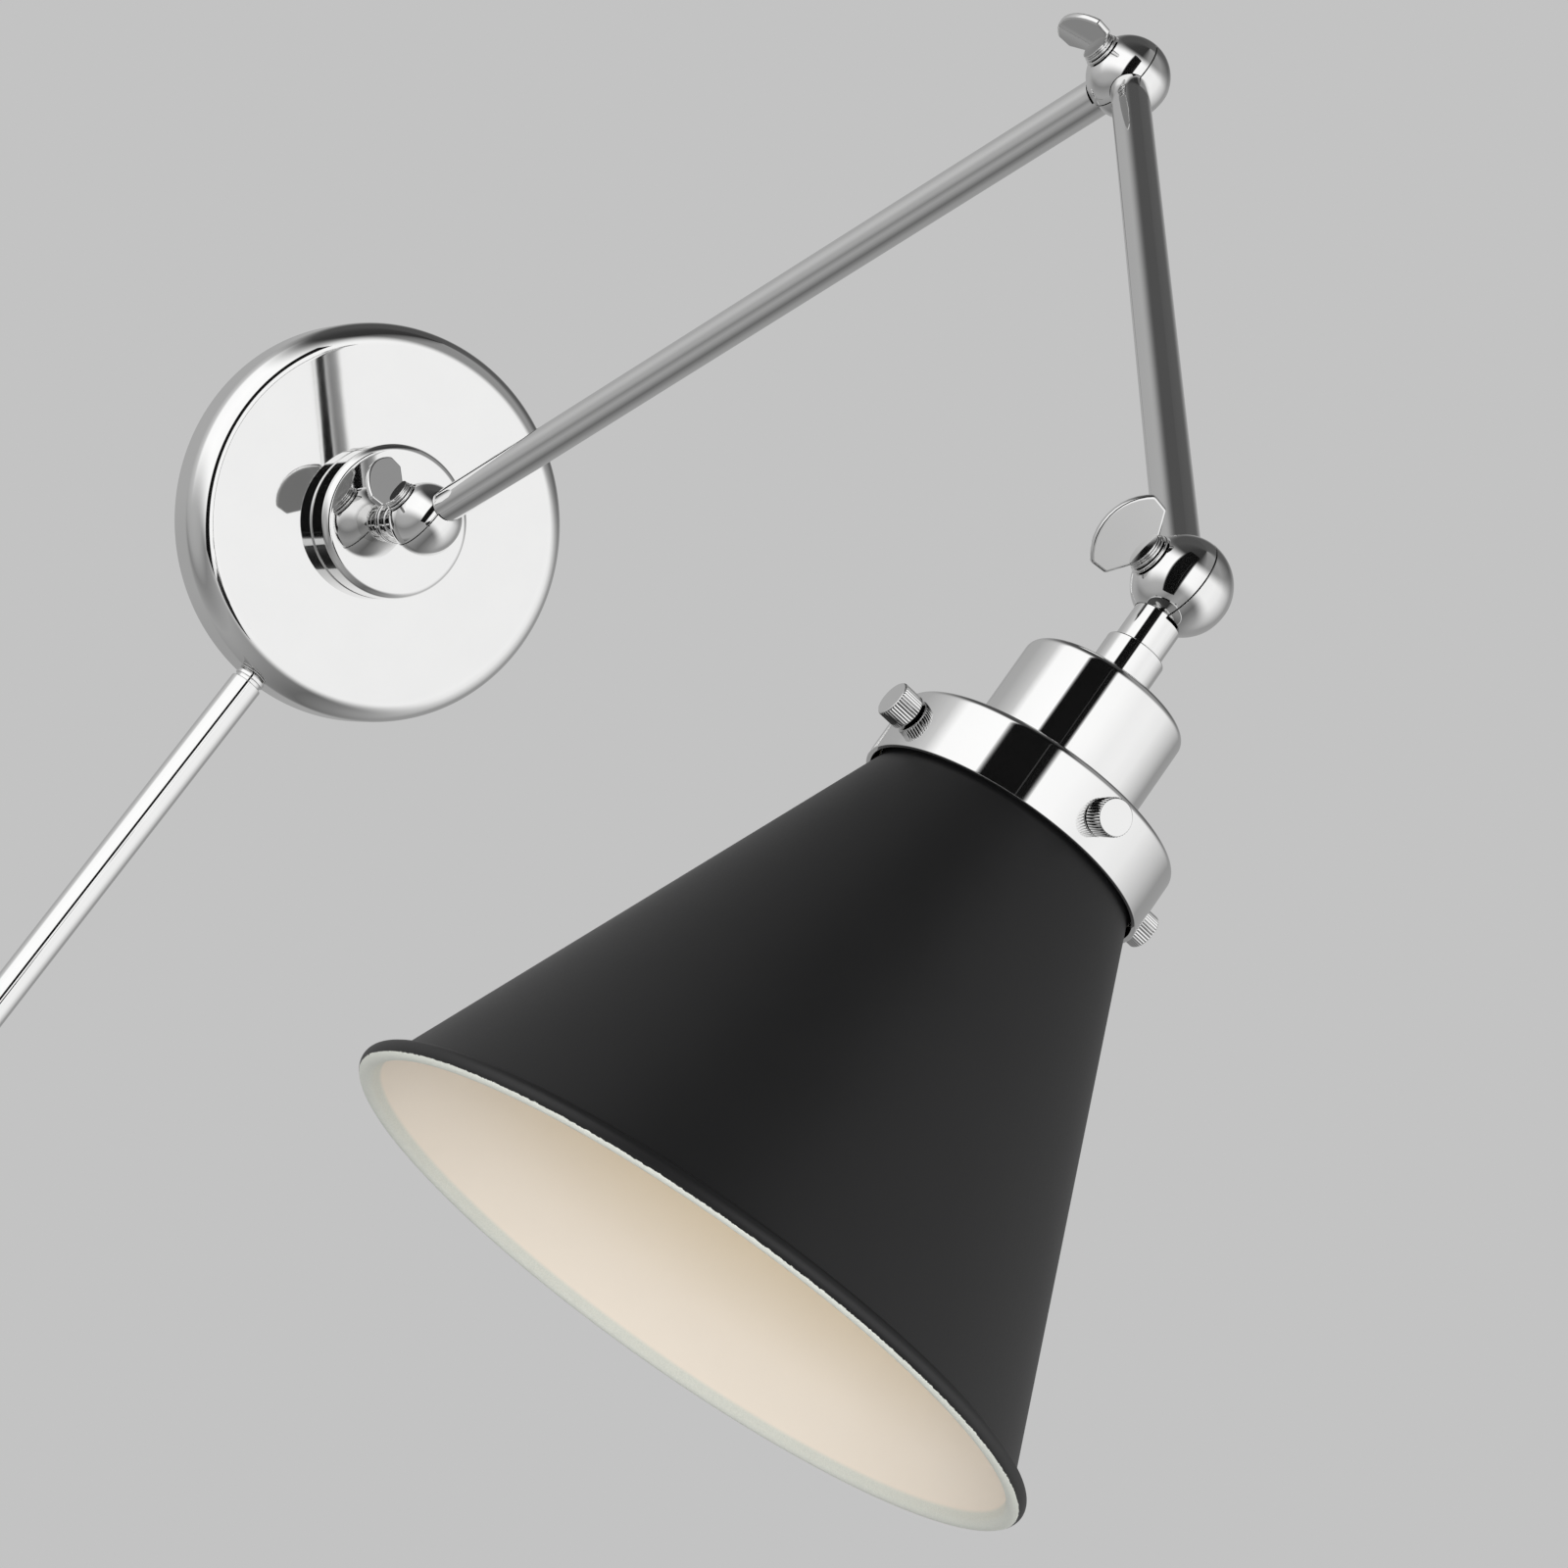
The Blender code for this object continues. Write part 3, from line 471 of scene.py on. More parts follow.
def add_side_screws():
    for side, direction in (("left", -ACROSS), ("right", ACROSS)):
        node = "canopy_screw_" + side
        at = placing(screw_centre(), direction)
        tip, top = along(node, screw_centre(), direction)
        head = around(node, screw_centre(), direction)[1]
        seat = top - SCREW_HEAD
        dome_radius = (head**2 + SCREW_DOME**2) / (2 * SCREW_DOME)
        shank = SCREW_BORE - GAP
        outline = [(0, tip), (shank - SCREW_BEVEL, tip), (shank, tip + SCREW_BEVEL)]
        outline += [(shank, seat), (head, seat)]
        sweep = degrees(asin(head / dome_radius))
        outline += arc((0, top - dome_radius), dome_radius, 90 - sweep, 90, 10)
        outline[-1] = (0, top)
        screw = cut_slot(lathe(node, outline, at, SMALL), 0.005, 0.0004, top, 0.0008, at)
        keep(screw, NICKEL_TURNED, node)


def add_cord_tube():
    """The tube on its nipple, whose collar shows between the canopy and the tube."""
    centre = cord_centre()
    at = placing(centre, -UP)
    bore, radius = around("cord_tube", centre, -UP)
    top, end = along("cord_tube", centre, -UP)
    corners = [(bore, top, EASED), (radius, top, EASED), (radius, end, EASED), (bore, end, EASED)]
    keep(lathe("tube", rounded(corners), at, SMALL), NICKEL_DRAWN, "cord_tube")
    start, spigot_end = along("cord_tube_nipple", centre, -UP)
    inner = around("cord_tube_nipple", centre, -UP)[0]
    shank = bore - GAP
    waist = shank + 0.0004
    collar = shank + 0.0010
    shoulder = around("wall_canopy", WALL, OUT)[1] + GAP
    collar_end = shoulder + 0.0014
    seat = top - GAP
    corners = [(inner, start), (shank, start), (shank, shoulder), (collar, shoulder, EASED)]
    corners += [(collar, collar_end, EASED), (waist, collar_end), (waist, seat), (shank, seat)]
    corners += [(shank, spigot_end), (inner, spigot_end)]
    keep(lathe("nipple", rounded(corners), at, SMALL), NICKEL_TURNED, "cord_tube_nipple")


# Boss and stem

BOSS_WALL = 0.0040
BOSS_EDGE = 0.0025
BOSS_BACK_EDGE = 0.0008
STEM_FOOT = 0.0074
STEM_STEP = 0.0058
STEM_LIP = 0.0066
STEM_LIP_HEIGHT = 0.0012
LIP_TO_BALL = 0.0022


def add_boss():
    back, front = along("swivel_boss", WALL, OUT)
    bore, radius = around("swivel_boss", WALL, OUT)
    inside = radius - BOSS_WALL
    core = bore + BOSS_WALL
    painted_glow = back + (front - back) * 0.6
    corners = [(bore, front), (radius, front, BOSS_EDGE), (radius, back, BOSS_BACK_EDGE)]
    corners += [(inside, back), (inside, painted_glow), (core, painted_glow), (core, back), (bore, back)]
    boss = lathe("boss", rounded(corners, steps=12), placing(WALL, OUT), ROUND)
    keep(boss, NICKEL_TURNED, "swivel_boss")


def stem_shank():
    """The stem's radius, from the washer that it goes through."""
    return around("stem_spring_washer", WALL, OUT)[0] - GAP


def add_stem():
    """The stem stands on the boss on a stepped foot, and ends in a lip under the ball."""
    tail, ball_end = along("stem", WALL, OUT)
    bore = around("stem", WALL, OUT)[0]
    shank = stem_shank()
    face = along("swivel_boss", WALL, OUT)[1] + GAP
    foot_top = face + 0.0015
    step_top = face + 0.0028
    lip = (WALL_BALL - WALL).dot(OUT) - BALL_RADIUS - LIP_TO_BALL
    lip_start = lip - STEM_LIP_HEIGHT
    corners = [(bore, tail), (shank, tail, EASED), (shank, face), (STEM_FOOT, face, EASED)]
    corners += [(STEM_FOOT, foot_top, 0.0004), (STEM_STEP, foot_top), (STEM_STEP, step_top, 0.0004)]
    corners += [(shank, step_top), (shank, lip_start), (STEM_LIP, lip_start, EASED)]
    corners += [(STEM_LIP, lip, 0.0005), (shank, lip), (shank, ball_end), (bore, ball_end)]
    stem = lathe("stem", rounded(corners), placing(WALL, OUT), SMALL)
    keep(combine(stem, [dome(WALL_BALL, "near")]), NICKEL_TURNED, "stem")
    low, high = along("stem_spring_washer", WALL, OUT)
    washer = ring("washer", around("stem_spring_washer", WALL, OUT), low, high, placing(WALL, OUT))
    keep(washer, STEEL, "stem_spring_washer")


def ring(name, radii, bottom, top, at, edge=EASED, steps=SMALL):
    """A washer or sleeve between two radii, with eased edges."""
    inner, outer = radii
    corners = [(inner, bottom, edge), (outer, bottom, edge), (outer, top, edge), (inner, top, edge)]
    return lathe(name, rounded(corners, steps=4), at, steps)


# Split-ball pivots: the near half is towards -X and carries the paddle, the far half towards +X.

SIDES = {"near": -ACROSS, "far": ACROSS}
BALL_RADIUS = around("stem_ball_half", WALL_BALL, ACROSS)[1]
BALL_WALL = 0.0014
CAVITY_CORNER = radians(34.4)
POST_WALL = 0.0019
POST_RECESS = 0.0008
SEAMS = {
    "near": along("head_ball_half", HEAD_BALL, -ACROSS)[0],
    "far": along("stem_ball_half", WALL_BALL, ACROSS)[0],
}


def dome(centre, side):
    """The room that a ball half on one side sweeps, which is cut from the other half's tube."""
    radius = BALL_RADIUS + SWEEP
    seam = SEAMS[side] - GAP
    points = arc((0, 0), radius, degrees(asin(seam / radius)), 90, 24)
    points[-1] = (0, radius)
    return lathe("dome", [(0, seam)] + points, placing(centre, SIDES[side], UP), ROUND)


def add_ball_half(node, side, pivot, tube_axis, tube_radius):
    """A hollow half with a post round its screw and a hole for its tube. The far half has a
    pocket for the nut."""
    axis = SIDES[side]
    centre = PIVOTS[pivot]
    seam, seat = along(node, centre, axis)
    bore = around(node, centre, axis)[0]
    cavity = (BALL_RADIUS - BALL_WALL) * cos(CAVITY_CORNER)
    cavity_top = (BALL_RADIUS - BALL_WALL) * sin(CAVITY_CORNER)
    post = bore + POST_WALL
    post_end = seam + POST_RECESS
    start = degrees(asin(seam / BALL_RADIUS))
    end = degrees(asin(seat / BALL_RADIUS))
    shell = arc((0, 0), BALL_RADIUS, start, end, 44)
    corners = [(*shell[0], 0.0001)] + shell[1:-1] + [(*shell[-1], 0.0002)]
    if side == "far":
        nut = pivot + "_ball_nut"
        pocket = around(nut, centre, axis)[1] + GAP
        floor = along(nut, centre, axis)[0] - GAP
        corners += [(pocket, seat, EASED), (pocket, floor), (bore, floor)]
    else:
        corners += [(bore, seat)]
    corners += [(bore, post_end), (post, post_end), (post, cavity_top)]
    corners += [(cavity, cavity_top), (cavity, seam)]
    half = lathe(node, rounded(corners), placing(centre, axis, UP), ROUND)
    past_ball = BALL_RADIUS * 1.3
    hole = rod("tube_hole", tube_radius + FIT, post + GAP, past_ball, placing(centre, tube_axis))
    keep(combine(half, [hole]), NICKEL_TURNED, node)


def add_pivot_hardware(name, centre):
    near = placing(centre, SIDES["near"], UP)
    far = placing(centre, SIDES["far"], UP)
    for kind, edge, look in (("paddle", 0.00035, NICKEL_TURNED), ("friction", 0.0001, FIBRE)):
        washer = name + "_" + kind + "_washer"
        low, high = along(washer, centre, SIDES["near"])
        radii = around(washer, centre, SIDES["near"])
        keep(ring(washer, radii, low, high, near, edge), look, washer)
    nut = name + "_ball_nut"
    low, high = along(nut, centre, SIDES["far"])
    body = ring(nut, around(nut, centre, SIDES["far"]), low, high, far)
    keep(cut_slot(body, 0.008, 0.0005, high, 0.0010, far), BRASS, nut)
    add_paddle(name + "_paddle_screw", centre)


# The hub's two grooves: shares of its radius, heights over its bottom, and rounding radii.
HUB_RADIUS = 0.00497
HUB_RINGS = [(1, 0, 0.0002), (1, 0.0005, 0.0002), (0.88, 0.00065), (0.95, 0.0008, 0.0001)]
HUB_RINGS += [(0.95, 0.0011, 0.0001), (0.86, 0.00125), (0.94, 0.0014, 0.0001), (0.94, 0.0017, 0.0002)]
HUB_HEIGHT = 0.0019
PADDLE_SHANK = 0.0020
PADDLE_THICKNESS = 0.0020
PADDLE_EDGE = 0.00065
PADDLE_ROOT = 0.0010
PADDLE_SHOULDER = 0.00414
PADDLE_CROWN = 0.00486


def paddle_direction(vertices, axis):
    """The way that a flat paddle spreads, square to its screw: the middle of its far corners."""
    flat = [co - axis * co.dot(axis) for co in vertices]
    corner = max(flat, key=lambda co: co.length)
    far = [co for co in flat if co.length > corner.length * 0.98]
    across = sum([co if co.dot(corner) > 0 else -co for co in far], Vector()).normalized()
    return -across if across.z < 0 else across


def add_paddle(node, centre):
    """A flat key-shaped paddle with an eased rim, on a hub turned with two grooves."""
    axis = SIDES["near"]
    vertices = [v.co - centre for v in frame["nodes"][node].data.vertices]
    tip, crown = along(node, centre, axis)
    across = paddle_direction(vertices, axis)
    half = max(abs(co.dot(across)) for co in vertices)
    at = placing(centre, axis, across)
    hub_bottom = along(node.replace("screw", "washer"), centre, axis)[1] + GAP
    corners = [(0, tip), (PADDLE_SHANK, tip, EASED), (PADDLE_SHANK, hub_bottom)]
    for share, height, *radius in HUB_RINGS:
        corners.append((HUB_RADIUS * share, hub_bottom + height, *radius))
    corners.append((0, hub_bottom + HUB_HEIGHT))
    screw = lathe(node, rounded(corners, closed=False, steps=4), at, SMALL)
    crown_radius = (half**2 + PADDLE_CROWN**2) / (2 * PADDLE_CROWN)
    sweep = degrees(asin(half / crown_radius))
    side = [(hub_bottom + PADDLE_ROOT, HUB_RADIUS * 0.94, 0.0010)]
    side += [(hub_bottom + PADDLE_SHOULDER, half * 0.955, 0.0010)]
    top = arc((crown - crown_radius, 0), crown_radius, -sweep, sweep, 12)
    top = [(*top[0], 0.0014)] + top[1:-1] + [(*top[-1], 0.0014)]
    outline = [(out, -wide, radius) for out, wide, radius in side] + top + side[::-1]
    paddle = combine(screw, [plate(rounded(outline), PADDLE_THICKNESS, at)], "UNION")
    keep(paddle, NICKEL_FLAT, node)


def plate(outline, thickness, at):
    """A flat plate in the local XZ plane, from (height, width) points, with a rounded rim. The
    narrow inset keeps the flats' shading flat."""
    bm = bmesh.new()
    verts = [bm.verts.new((wide, -thickness / 2, out)) for out, wide in outline]
    face = bm.faces.new(verts)
    extruded = bmesh.ops.extrude_face_region(bm, geom=[face])
    lifted = [item for item in extruded["geom"] if isinstance(item, bmesh.types.BMVert)]
    bmesh.ops.translate(bm, verts=lifted, vec=(0, thickness, 0))
    bmesh.ops.recalc_face_normals(bm, faces=bm.faces)
    rim = [edge for edge in bm.edges if any(len(f.verts) > 4 for f in edge.link_faces)]
    bmesh.ops.bevel(bm, geom=rim, offset=PADDLE_EDGE, segments=5, affect="EDGES", profile=0.5)
    flats = [face for face in bm.faces if len(face.verts) > 8]
    bmesh.ops.inset_individual(bm, faces=flats, thickness=0.00008)
    return new_object("plate", bm, at)


# Arms


def add_arm_tube(node, first, last, axis):
    start, end = along(node, first, axis)
    bore, radius = around(node, first, axis)
    outline = [(bore, start), (radius, start), (radius, end), (bore, end)]
    tube = lathe(node, outline, placing(first, axis), ROUND)
    keep(combine(tube, [dome(first, "far"), dome(last, "near")]), NICKEL_DRAWN, node)


def add_arms():
    lower_radius = around("lower_arm_tube", WALL_BALL, LOWER)[1]
    upper_radius = around("upper_arm_tube", ELBOW_BALL, UPPER)[1]
    neck_radius = head_around("neck_tube")[1]
    add_ball_half("stem_ball_half", "far", "wall", -OUT, stem_shank())
    add_ball_half("lower_arm_wall_half", "near", "wall", LOWER, lower_radius)
    add_arm_tube("lower_arm_tube", WALL_BALL, ELBOW_BALL, LOWER)
    add_ball_half("lower_arm_elbow_half", "far", "elbow", -LOWER, lower_radius)
    add_ball_half("upper_arm_elbow_half", "near", "elbow", UPPER, upper_radius)
    add_arm_tube("upper_arm_tube", ELBOW_BALL, HEAD_BALL, UPPER)
    add_ball_half("upper_arm_head_half", "far", "head", -UPPER, upper_radius)
    add_ball_half("head_ball_half", "near", "head", HEAD, neck_radius)


# Head

SLEEVE_EDGE = 0.0004
CAP_EDGE = 0.0022
COLLAR_EDGE = 0.0018


def head_place():
    return placing(HEAD_BALL, HEAD)


def head_along(node):
    return along(node, HEAD_BALL, HEAD)


def head_around(node):
    return around(node, HEAD_BALL, HEAD)


def add_neck():
    start, end = head_along("neck_tube")
    bore, radius = head_around("neck_tube")
    outline = [(bore, start), (radius, start), (radius, end), (bore, end)]
    neck = lathe("neck", outline, head_place(), SMALL)
    keep(combine(neck, [dome(HEAD_BALL, "far")]), NICKEL_TURNED, "neck_tube")
    low, high = head_along("neck_sleeve")
    radii = (radius + FIT, head_around("neck_sleeve")[1])
    sleeve = ring("sleeve", radii, low, high, head_place(), SLEEVE_EDGE, ROUND)
    keep(sleeve, NICKEL_TURNED, "neck_sleeve")


def add_cup(node, edge, steps, holes=()):
    """A drawn cup with a rounded top, open at the bottom."""
    top, bottom = head_along(node)
    bore, radius = head_around(node)
    inside = radius - SHEET
    corners = [(bore, top), (radius, top, edge), (radius, bottom, EASED), (inside, bottom, EASED)]
    corners += [(inside, top + SHEET, max(edge - SHEET, EASED)), (bore, top + SHEET)]
    cup = lathe(node, rounded(corners, steps=10), head_place(), steps)
    if holes:
        combine(cup, holes)
    keep(cup, NICKEL_TURNED, node)


THUMB_NAMES = ("left", "front", "right", "back")
THUMB_SHANK = 0.0015
THUMB_TIP = 0.0005
THUMB_HEAD = 0.0056
THUMB_TEETH = 40
FLUTE = 0.00022


def thumb_axis(name):
    return Vector(JOINTS[name + "_thumbscrew_turn"]["axis"])


def thumb_holes():
    """The collar's holes for the thumbscrews."""
    reach = head_around("shade_collar")[1]
    radius = THUMB_SHANK + GAP
    return [
        rod("thumb_hole", radius, reach * 0.9, reach * 1.1, placing(THUMB_CENTRE, thumb_axis(name)))
        for name in THUMB_NAMES
    ]


def knurl(radius):
    """The shape of a straight-knurled head. The flutes fade at the eased rim of its flat face."""

    def shape(reach, height, angle):
        if reach < radius - FLUTE / 2:
            return reach
        return reach - FLUTE * (0.5 - 0.5 * cos(THUMB_TEETH * angle)) ** 0.6

    return shape


def add_thumbscrews():
    for name in THUMB_NAMES:
        node = "thumbscrew_" + name
        axis = thumb_axis(name)
        at = placing(THUMB_CENTRE, axis, HEAD)
        tip, face = along(node, THUMB_CENTRE, axis)
        radius = around(node, THUMB_CENTRE, axis)[1]
        back = face - THUMB_HEAD
        corners = [(0, tip), (THUMB_SHANK * 0.6, tip), (THUMB_SHANK, tip + THUMB_TIP)]
        corners += [(THUMB_SHANK, back), (radius - FLUTE, back, 0.0003), (radius, back + 0.0004)]
        corners += [(radius, face - 0.0004), (radius - FLUTE * 1.5, face, 0.0003), (0, face)]
        outline = rounded(corners, closed=False, steps=4)
        keep(lathe(node, outline, at, THUMB_TEETH * 8, knurl(radius)), NICKEL_FLAT, node)


BODY_WALL = 0.0030
BODY_EDGE = 0.0036
SHELL_SHEET = 0.0006
THREAD_PITCH = 0.0025
THREAD_DEPTH = 0.0004
THREAD_ROWS = 60
PIP_FOOT = 0.0040
PIP_TIP = 0.0034
GRIPS = 12
GRIP_DEPTH = 0.0006


def add_lampholder_body():
    top, bottom = head_along("lampholder_body")
    hole, radius = head_around("lampholder_body")
    inner = radius - BODY_WALL
    corners = [(hole, top), (radius, top, BODY_EDGE), (radius, bottom, 0.0006)]
    corners += [(inner, bottom, 0.0005), (inner, top + BODY_WALL), (hole, top + BODY_WALL)]
    body = lathe("lampholder", rounded(corners, steps=8), head_place(), ROUND)
    keep(body, PHENOLIC, "lampholder_body")


def add_screw_shell():
    """The brass shell with its rolled thread, which fades out at both ends."""
    low, high = head_along("screw_shell")
    lip, radius = head_around("screw_shell")
    floor = low + SHELL_SHEET * 2
    span = high - floor
    heights = [floor + span * i / THREAD_ROWS for i in range(THREAD_ROWS + 1)]
    outline = [(lip, low), (radius, low)] + [(radius, height) for height in heights]
    outline += [(radius - SHELL_SHEET, height) for height in reversed(heights)] + [(lip, floor)]

    def thread(reach, height, angle):
        if reach < radius - 2 * SHELL_SHEET:
            return reach
        ends = (height - heights[0], high - height)
        fade = min(1, *[max(0, end / THREAD_PITCH) for end in ends])
        turn = 2 * pi * height / THREAD_PITCH - angle
        return reach - THREAD_DEPTH * fade * (1 - cos(turn)) / 2

    keep(lathe("shell", outline, head_place(), ROUND, thread), BRASS, "screw_shell")


def add_centre_contact():
    low, high = head_along("centre_contact")
    radius = head_around("centre_contact")[1]
    disc = low + SHELL_SHEET * 2
    corners = [(0, low), (radius, low, EASED), (radius, disc, EASED), (PIP_FOOT, disc)]
    corners += [(PIP_TIP, high, 0.0008), (0, high)]
    contact = lathe("contact", rounded(corners, closed=False), head_place(), SMALL)
    keep(contact, BRASS, "centre_contact")


def add_clamp_ring():
    """The ring that holds the collar to the lampholder, with grips round it."""
    low, high = head_along("collar_clamp_ring")
    bore, radius = head_around("collar_clamp_ring")

    def grips(reach, height, angle):
        if reach <= radius - 2 * GRIP_DEPTH:
            return reach
        return reach - GRIP_DEPTH * max(0, cos(GRIPS * angle)) ** 4

    corners = [(bore, low), (radius, low, 0.0004), (radius, high, 0.0006), (bore, high, 0.0004)]
    clamp = lathe("clamp_ring", rounded(corners), head_place(), ROUND, grips)
    keep(clamp, PHENOLIC, "collar_clamp_ring")


BEAD_RADIUS = 0.0022
SHADE_BEND = 0.0020
SHADE_TOP_EDGE = 0.0003


def add_shade():
    """The spun cone, with its neck inside the collar and the bead rolled at its rim."""
    top, rim = head_along("shade")
    neck, mouth = neck_and_mouth()
    bend_height = head_along("shade_collar")[1]
    inside = neck - SHADE_SHEET
    bead = (mouth - BEAD_RADIUS, rim - BEAD_RADIUS)
    run = bead[0] - inside
    drop = bead[1] - bend_height
    lean = atan2(run, drop) - asin(BEAD_RADIUS / hypot(run, drop))
    slope = tan(lean)
    outer_bend = bend_height - SHADE_SHEET * (1 / cos(lean) - 1) / slope
    inner_end = 180 - degrees(lean)
    outer_start = inner_end + degrees(acos(1 - SHADE_SHEET / BEAD_RADIUS)) - 360
    corners = [(neck, top, SHADE_TOP_EDGE), (neck, outer_bend, SHADE_BEND)]
    corners += arc(bead, BEAD_RADIUS, outer_start, inner_end, 40)
    corners += [(inside, bend_height, SHADE_BEND), (inside, top, SHADE_TOP_EDGE)]
    cone = {
        "slope": slope,
        "offset": inside + SHADE_SHEET / 2 - slope * bend_height,
        "neck": neck - SHADE_SHEET / 2,
        "bead_start": rim - 1.6 * BEAD_RADIUS,
        "paint_line": bead[0] + 0.72 * BEAD_RADIUS,
        "band_start": rim - 1.5 * BEAD_RADIUS,
        "band_end": rim - 1.0 * BEAD_RADIUS,
        # Where the painted warm glow in the cream starts, and where it is full.
        "painted_glow_start": rim - 0.008,
        "painted_glow_end": rim - 0.055,
    }
    keep(lathe("shade", rounded(corners), head_place(), LARGE), shade_paint(cone), "shade")


def neck_and_mouth():
    """The shade's outer radius at its neck and at its bead."""
    top = head_along("shade")[0]
    neck = 0
    for vert in frame["nodes"]["shade"].data.vertices:
        offset = vert.co - HEAD_BALL
        height = offset.dot(HEAD)
        if height < top + 0.001:
            neck = max(neck, (offset - HEAD * height).length)
    return neck, head_around("shade")[1]


def add_head():
    add_neck()
    add_cup("socket_cap", CAP_EDGE, ROUND)
    add_cup("shade_collar", COLLAR_EDGE, LARGE, thumb_holes())
    add_thumbscrews()
    add_lampholder_body()
    add_screw_shell()
    add_centre_contact()
    add_clamp_ring()
    add_shade()


def finish_inner_nodes():
    """The CAD's own nuts and strap stay, with eased edges and a fitting material."""
    looks = {"mounting_strap": STEEL, "stem_nut": BRASS, "cord_tube_nut": BRASS, "neck_nut": BRASS}
    for name, look in looks.items():
        obj = frame["nodes"][name]
        obj.data.materials.clear()
        obj.data.materials.append(look)
        bevel = obj.modifiers.new("eased_edges", "BEVEL")
        bevel.width = EASED
        bevel.segments = 3
        bevel.limit_method = "ANGLE"
        bevel.angle_limit = radians(40)


# Studio

# Linear light levels: what the camera sees behind the sconce, and what matte things are lit by.
BACKDROP = 0.546
LEVEL = 0.73

# What polished metal sees, as (place, level) stops. The places are compass angles, where 0 is the
# way the sconce points and + is towards +X, but for the low ones, which are shares along X.
ROOM = [(-180, 0.42), (-150, 0.46), (-128, 0.60), (-118, 0.70), (-106, 1.18), (-60, 1.22)]
ROOM += [(-8, 1.16), (18, 1.04), (40, 1.06), (62, 0.98), (92, 0.62), (112, 0.34), (145, 0.36)]
ROOM += [(180, 0.42)]
CEILING = [(-180, 0.09), (-120, 0.09), (-70, 0.05), (-25, 0.04), (0, 0.30), (60, 0.34)]
CEILING += [(120, 0.12), (180, 0.10)]
LOW = [(-1, 0.55), (-0.62, 0.42), (-0.43, 0.26), (-0.2, 0.36), (-0.08, 0.40), (0.15, 0.33)]
LOW += [(0.5, 0.16), (0.7, 0.26), (1, 0.5)]
CEILING_HEIGHTS = (26, 50)
LOW_HEIGHTS = (-5, -34)

FLAG_AZIMUTH = -47
FLAG_WIDTH = 0.275
FLAG_DISTANCE = 0.36
FLAG_BOTTOM = -0.40
FLAG_TOP = 0.60
FLAG_COVER = [(0.0, 0.0), (0.12, 0.97), (0.755, 0.97), (0.77, 0.75), (0.785, 0.97), (0.90, 0.95)]
FLAG_COVER += [(1.0, 0.0)]

FLOOR = -0.60
FLOOR_REACH = 9
FLOOR_THICKNESS = 0.01


def studio_world():
    """Plain grey where the camera looks. Polished metal sees a grey room with a broad white wall
    of soft boxes in front, and everything else is lit by a plain even level."""
    world = bpy.data.worlds.new("studio")
    bpy.context.scene.world = world
    world.use_nodes = True
    tree = world.node_tree
    tree.nodes.clear()
    way = add(tree, "TexCoord").outputs["Generated"]
    parts = add(tree, "SeparateXYZ", {"Vector": way})
    forward = math(tree, "MULTIPLY", parts.outputs["Y"], -1)
    angle = math(tree, "ARCTAN2", parts.outputs["X"], forward)
    turn = math(tree, "MULTIPLY_ADD", angle, 1 / (2 * pi), 0.5)
    room = ramp(tree, turn, [((angle + 180) / 360, level) for angle, level in ROOM])
    ceiling = ramp(tree, turn, [((angle + 180) / 360, level) for angle, level in CEILING])
    across = math(tree, "MULTIPLY_ADD", parts.outputs["X"], 0.5, 0.5)
    low = ramp(tree, across, [(0.5 + x / 2, level) for x, level in LOW])
    height = math(tree, "ARCSINE", parts.outputs["Z"])
    above = smoothstep(tree, height, *[radians(value) for value in CEILING_HEIGHTS])
    below = smoothstep(tree, height, *[radians(value) for value in LOW_HEIGHTS])
    room = blend_colours(tree, above, room, ceiling)
    room = blend_colours(tree, below, room, low)
    path = add(tree, "LightPath").outputs
    mirror = math(tree, "MAXIMUM", path["Is Glossy Ray"], path["Is Transmission Ray"])
    seen = blend_colours(tree, mirror, (LEVEL, LEVEL, LEVEL, 1), room)
    grey = (BACKDROP, BACKDROP, BACKDROP, 1)
    seen = blend_colours(tree, path["Is Camera Ray"], seen, grey)
    shader = add(tree, "Background", {"Color": seen, "Strength": 1.0})
    output = add(tree, "OutputWorld")
    tree.links.new(shader.outputs[0], output.inputs["Surface"])


def add_lamp(name, location, target, size, energy):
    """A soft box that lights the paint only: the metal sees the world instead."""
    lamp = bpy.data.lights.new(name, "AREA")
    lamp.shape = "RECTANGLE"
    lamp.size, lamp.size_y = size
    lamp.energy = energy
    obj = bpy.data.objects.new(name, lamp)
    bpy.context.scene.collection.objects.link(obj)
    obj.location = location
    obj.rotation_mode = "QUATERNION"
    obj.rotation_quaternion = (Vector(target) - Vector(location)).to_track_quat("-Z", "Y")
    obj.visible_glossy = False
    obj.visible_camera = False


def add_lamps():
    middle = (ELBOW_BALL + WALL) / 2
    inside_shade = HEAD_BALL + HEAD * 0.15
    add_lamp("left_soft_box", (-2.2, -1.6, 0.3), middle, (1.2, 2.0), 22)
    add_lamp("right_soft_box", (1.6, -2.4, 0.4), middle, (1.2, 2.0), 22)
    add_lamp("low_fill", (-0.5, -1.5, -0.55), inside_shade, (0.9, 0.5), 10)


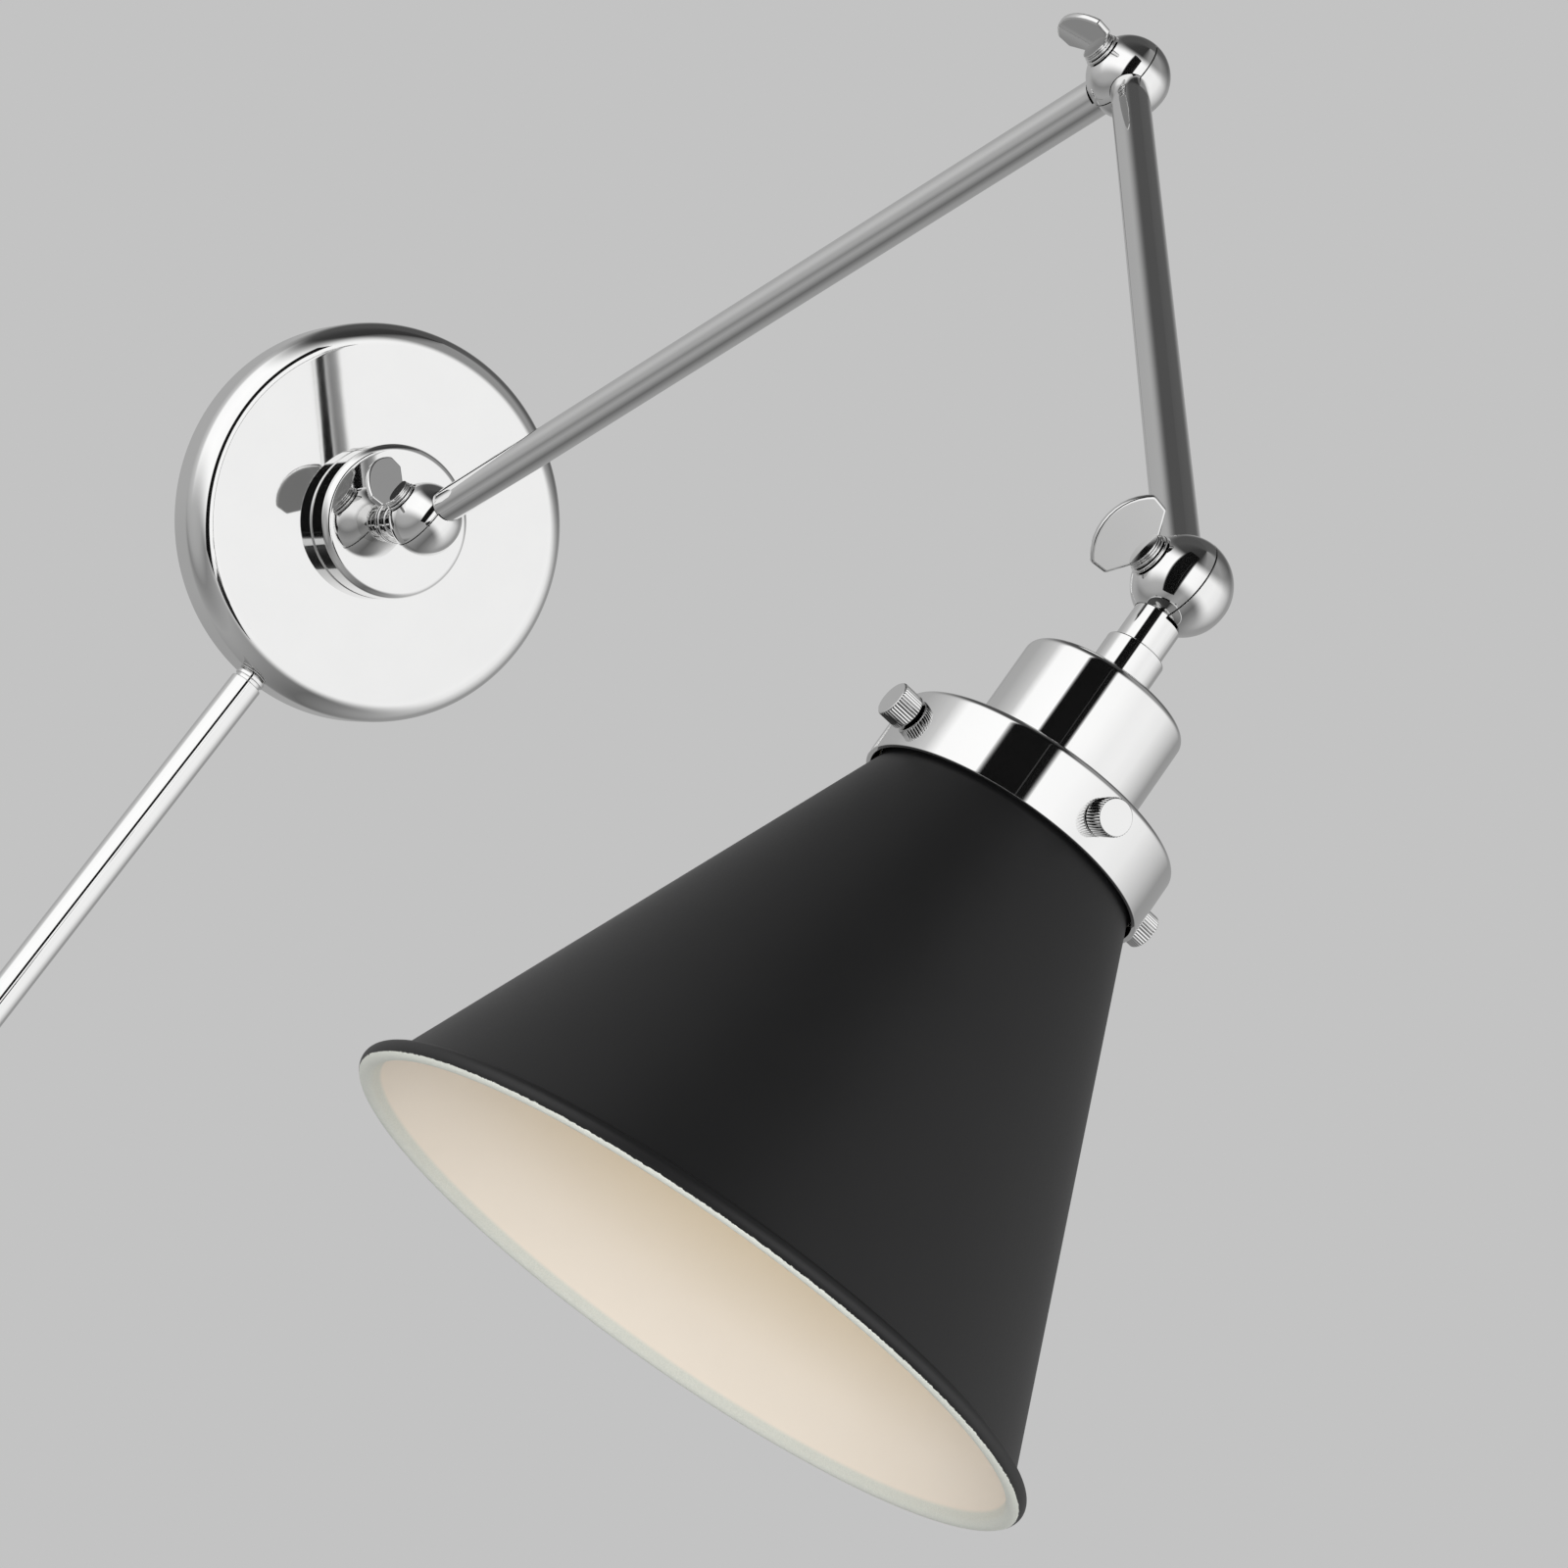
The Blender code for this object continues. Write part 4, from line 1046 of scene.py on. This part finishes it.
def add_flag():
    """A tall black card, left of the head and in front of it, seen only in the metal and the
    paint: it draws the dark bars down the head and round the boss. Its edges are feathered, and a
    fold lets a little light through."""
    material, tree, shader, place = new_material("flag")
    weave = noise(tree, place, 900, 3, 0.6)
    tint = blend_colours(tree, weave, (0.004, 0.004, 0.004, 1), (0.010, 0.010, 0.010, 1))
    tree.links.new(tint, shader.inputs["Base Color"])
    tree.links.new(spread(tree, weave, 0.9, 1.0), shader.inputs["Roughness"])
    tree.links.new(bump(tree, weave, 0.0002), shader.inputs["Normal"])
    shader.inputs["Specular IOR Level"].default_value = 0.1
    parts = add(tree, "SeparateXYZ", {"Vector": place})
    across = math(tree, "DIVIDE", parts.outputs["Y"], FLAG_WIDTH)
    cover = ramp(tree, math(tree, "ADD", across, 0.5), FLAG_COVER)
    tree.links.new(cover, shader.inputs["Alpha"])
    half = FLAG_WIDTH / 2
    side = radians(FLAG_AZIMUTH)
    toward = Vector((sin(side), -cos(side), 0))
    at = placing(HEAD_BALL + toward * FLAG_DISTANCE, UP, toward)
    flag = block("flag", (0, -half, FLAG_BOTTOM), (0.001, half, FLAG_TOP), at)
    flag.data.materials.append(material)
    flag.visible_camera = False
    flag.visible_diffuse = False
    flag.visible_shadow = False


def add_floor():
    """A plain pale floor well below the sconce, which hangs on a wall that isn't shown."""
    material, tree, shader, place = new_material("floor")
    cloud = noise(tree, place, 3, 3, 0.5)
    tint = blend_colours(tree, cloud, (0.62, 0.62, 0.62, 1), (0.66, 0.66, 0.66, 1))
    tree.links.new(tint, shader.inputs["Base Color"])
    tree.links.new(spread(tree, cloud, 0.75, 0.85), shader.inputs["Roughness"])
    tree.links.new(bump(tree, noise(tree, place, 60, 3, 0.5), 0.0002), shader.inputs["Normal"])
    low = (-FLOOR_REACH, -FLOOR_REACH, -FLOOR_THICKNESS)
    high = (FLOOR_REACH, FLOOR_REACH, 0)
    floor = block("floor", low, high, Matrix.Translation((0, 0, FLOOR)))
    floor.data.materials.append(material)
    floor.visible_glossy = False


# The camera looks up at the arms' plane from the left, rolled, through a long lens.
CAMERA_AIM = Vector((0, -0.4500, -0.1023))
CAMERA_DISTANCE = 1.247
CAMERA_AZIMUTH = -21.58
CAMERA_ELEVATION = -15.05
CAMERA_ROLL = 36.41
CAMERA_LENS = 117.6
CAMERA_SHIFT = (-0.0023, 0.0096)


def add_camera():
    azimuth, elevation = radians(CAMERA_AZIMUTH), radians(CAMERA_ELEVATION)
    flat = cos(elevation)
    back = Vector((sin(azimuth) * flat, -cos(azimuth) * flat, sin(elevation)))
    right = UP.cross(back).normalized()
    level = Matrix((right, back.cross(right), back)).transposed().to_4x4()
    camera = bpy.data.cameras.new("camera")
    camera.sensor_width = 36
    camera.lens = CAMERA_LENS
    camera.shift_x, camera.shift_y = CAMERA_SHIFT
    camera.clip_start, camera.clip_end = 0.05, 100
    obj = bpy.data.objects.new("camera", camera)
    bpy.context.scene.collection.objects.link(obj)
    roll = Matrix.Rotation(radians(CAMERA_ROLL), 4, "Z")
    obj.matrix_world = Matrix.Translation(CAMERA_AIM + back * CAMERA_DISTANCE) @ level @ roll
    bpy.context.scene.camera = obj


def build():
    add_camera()
    add_canopy()
    add_side_screws()
    add_cord_tube()
    add_boss()
    add_stem()
    add_arms()
    for name, centre in PIVOTS.items():
        add_pivot_hardware(name, centre)
    add_head()
    finish_inner_nodes()
    add_flag()
    add_floor()
    add_lamps()
    studio_world()
    bpy.context.scene.view_settings.view_transform = "Standard"


build()
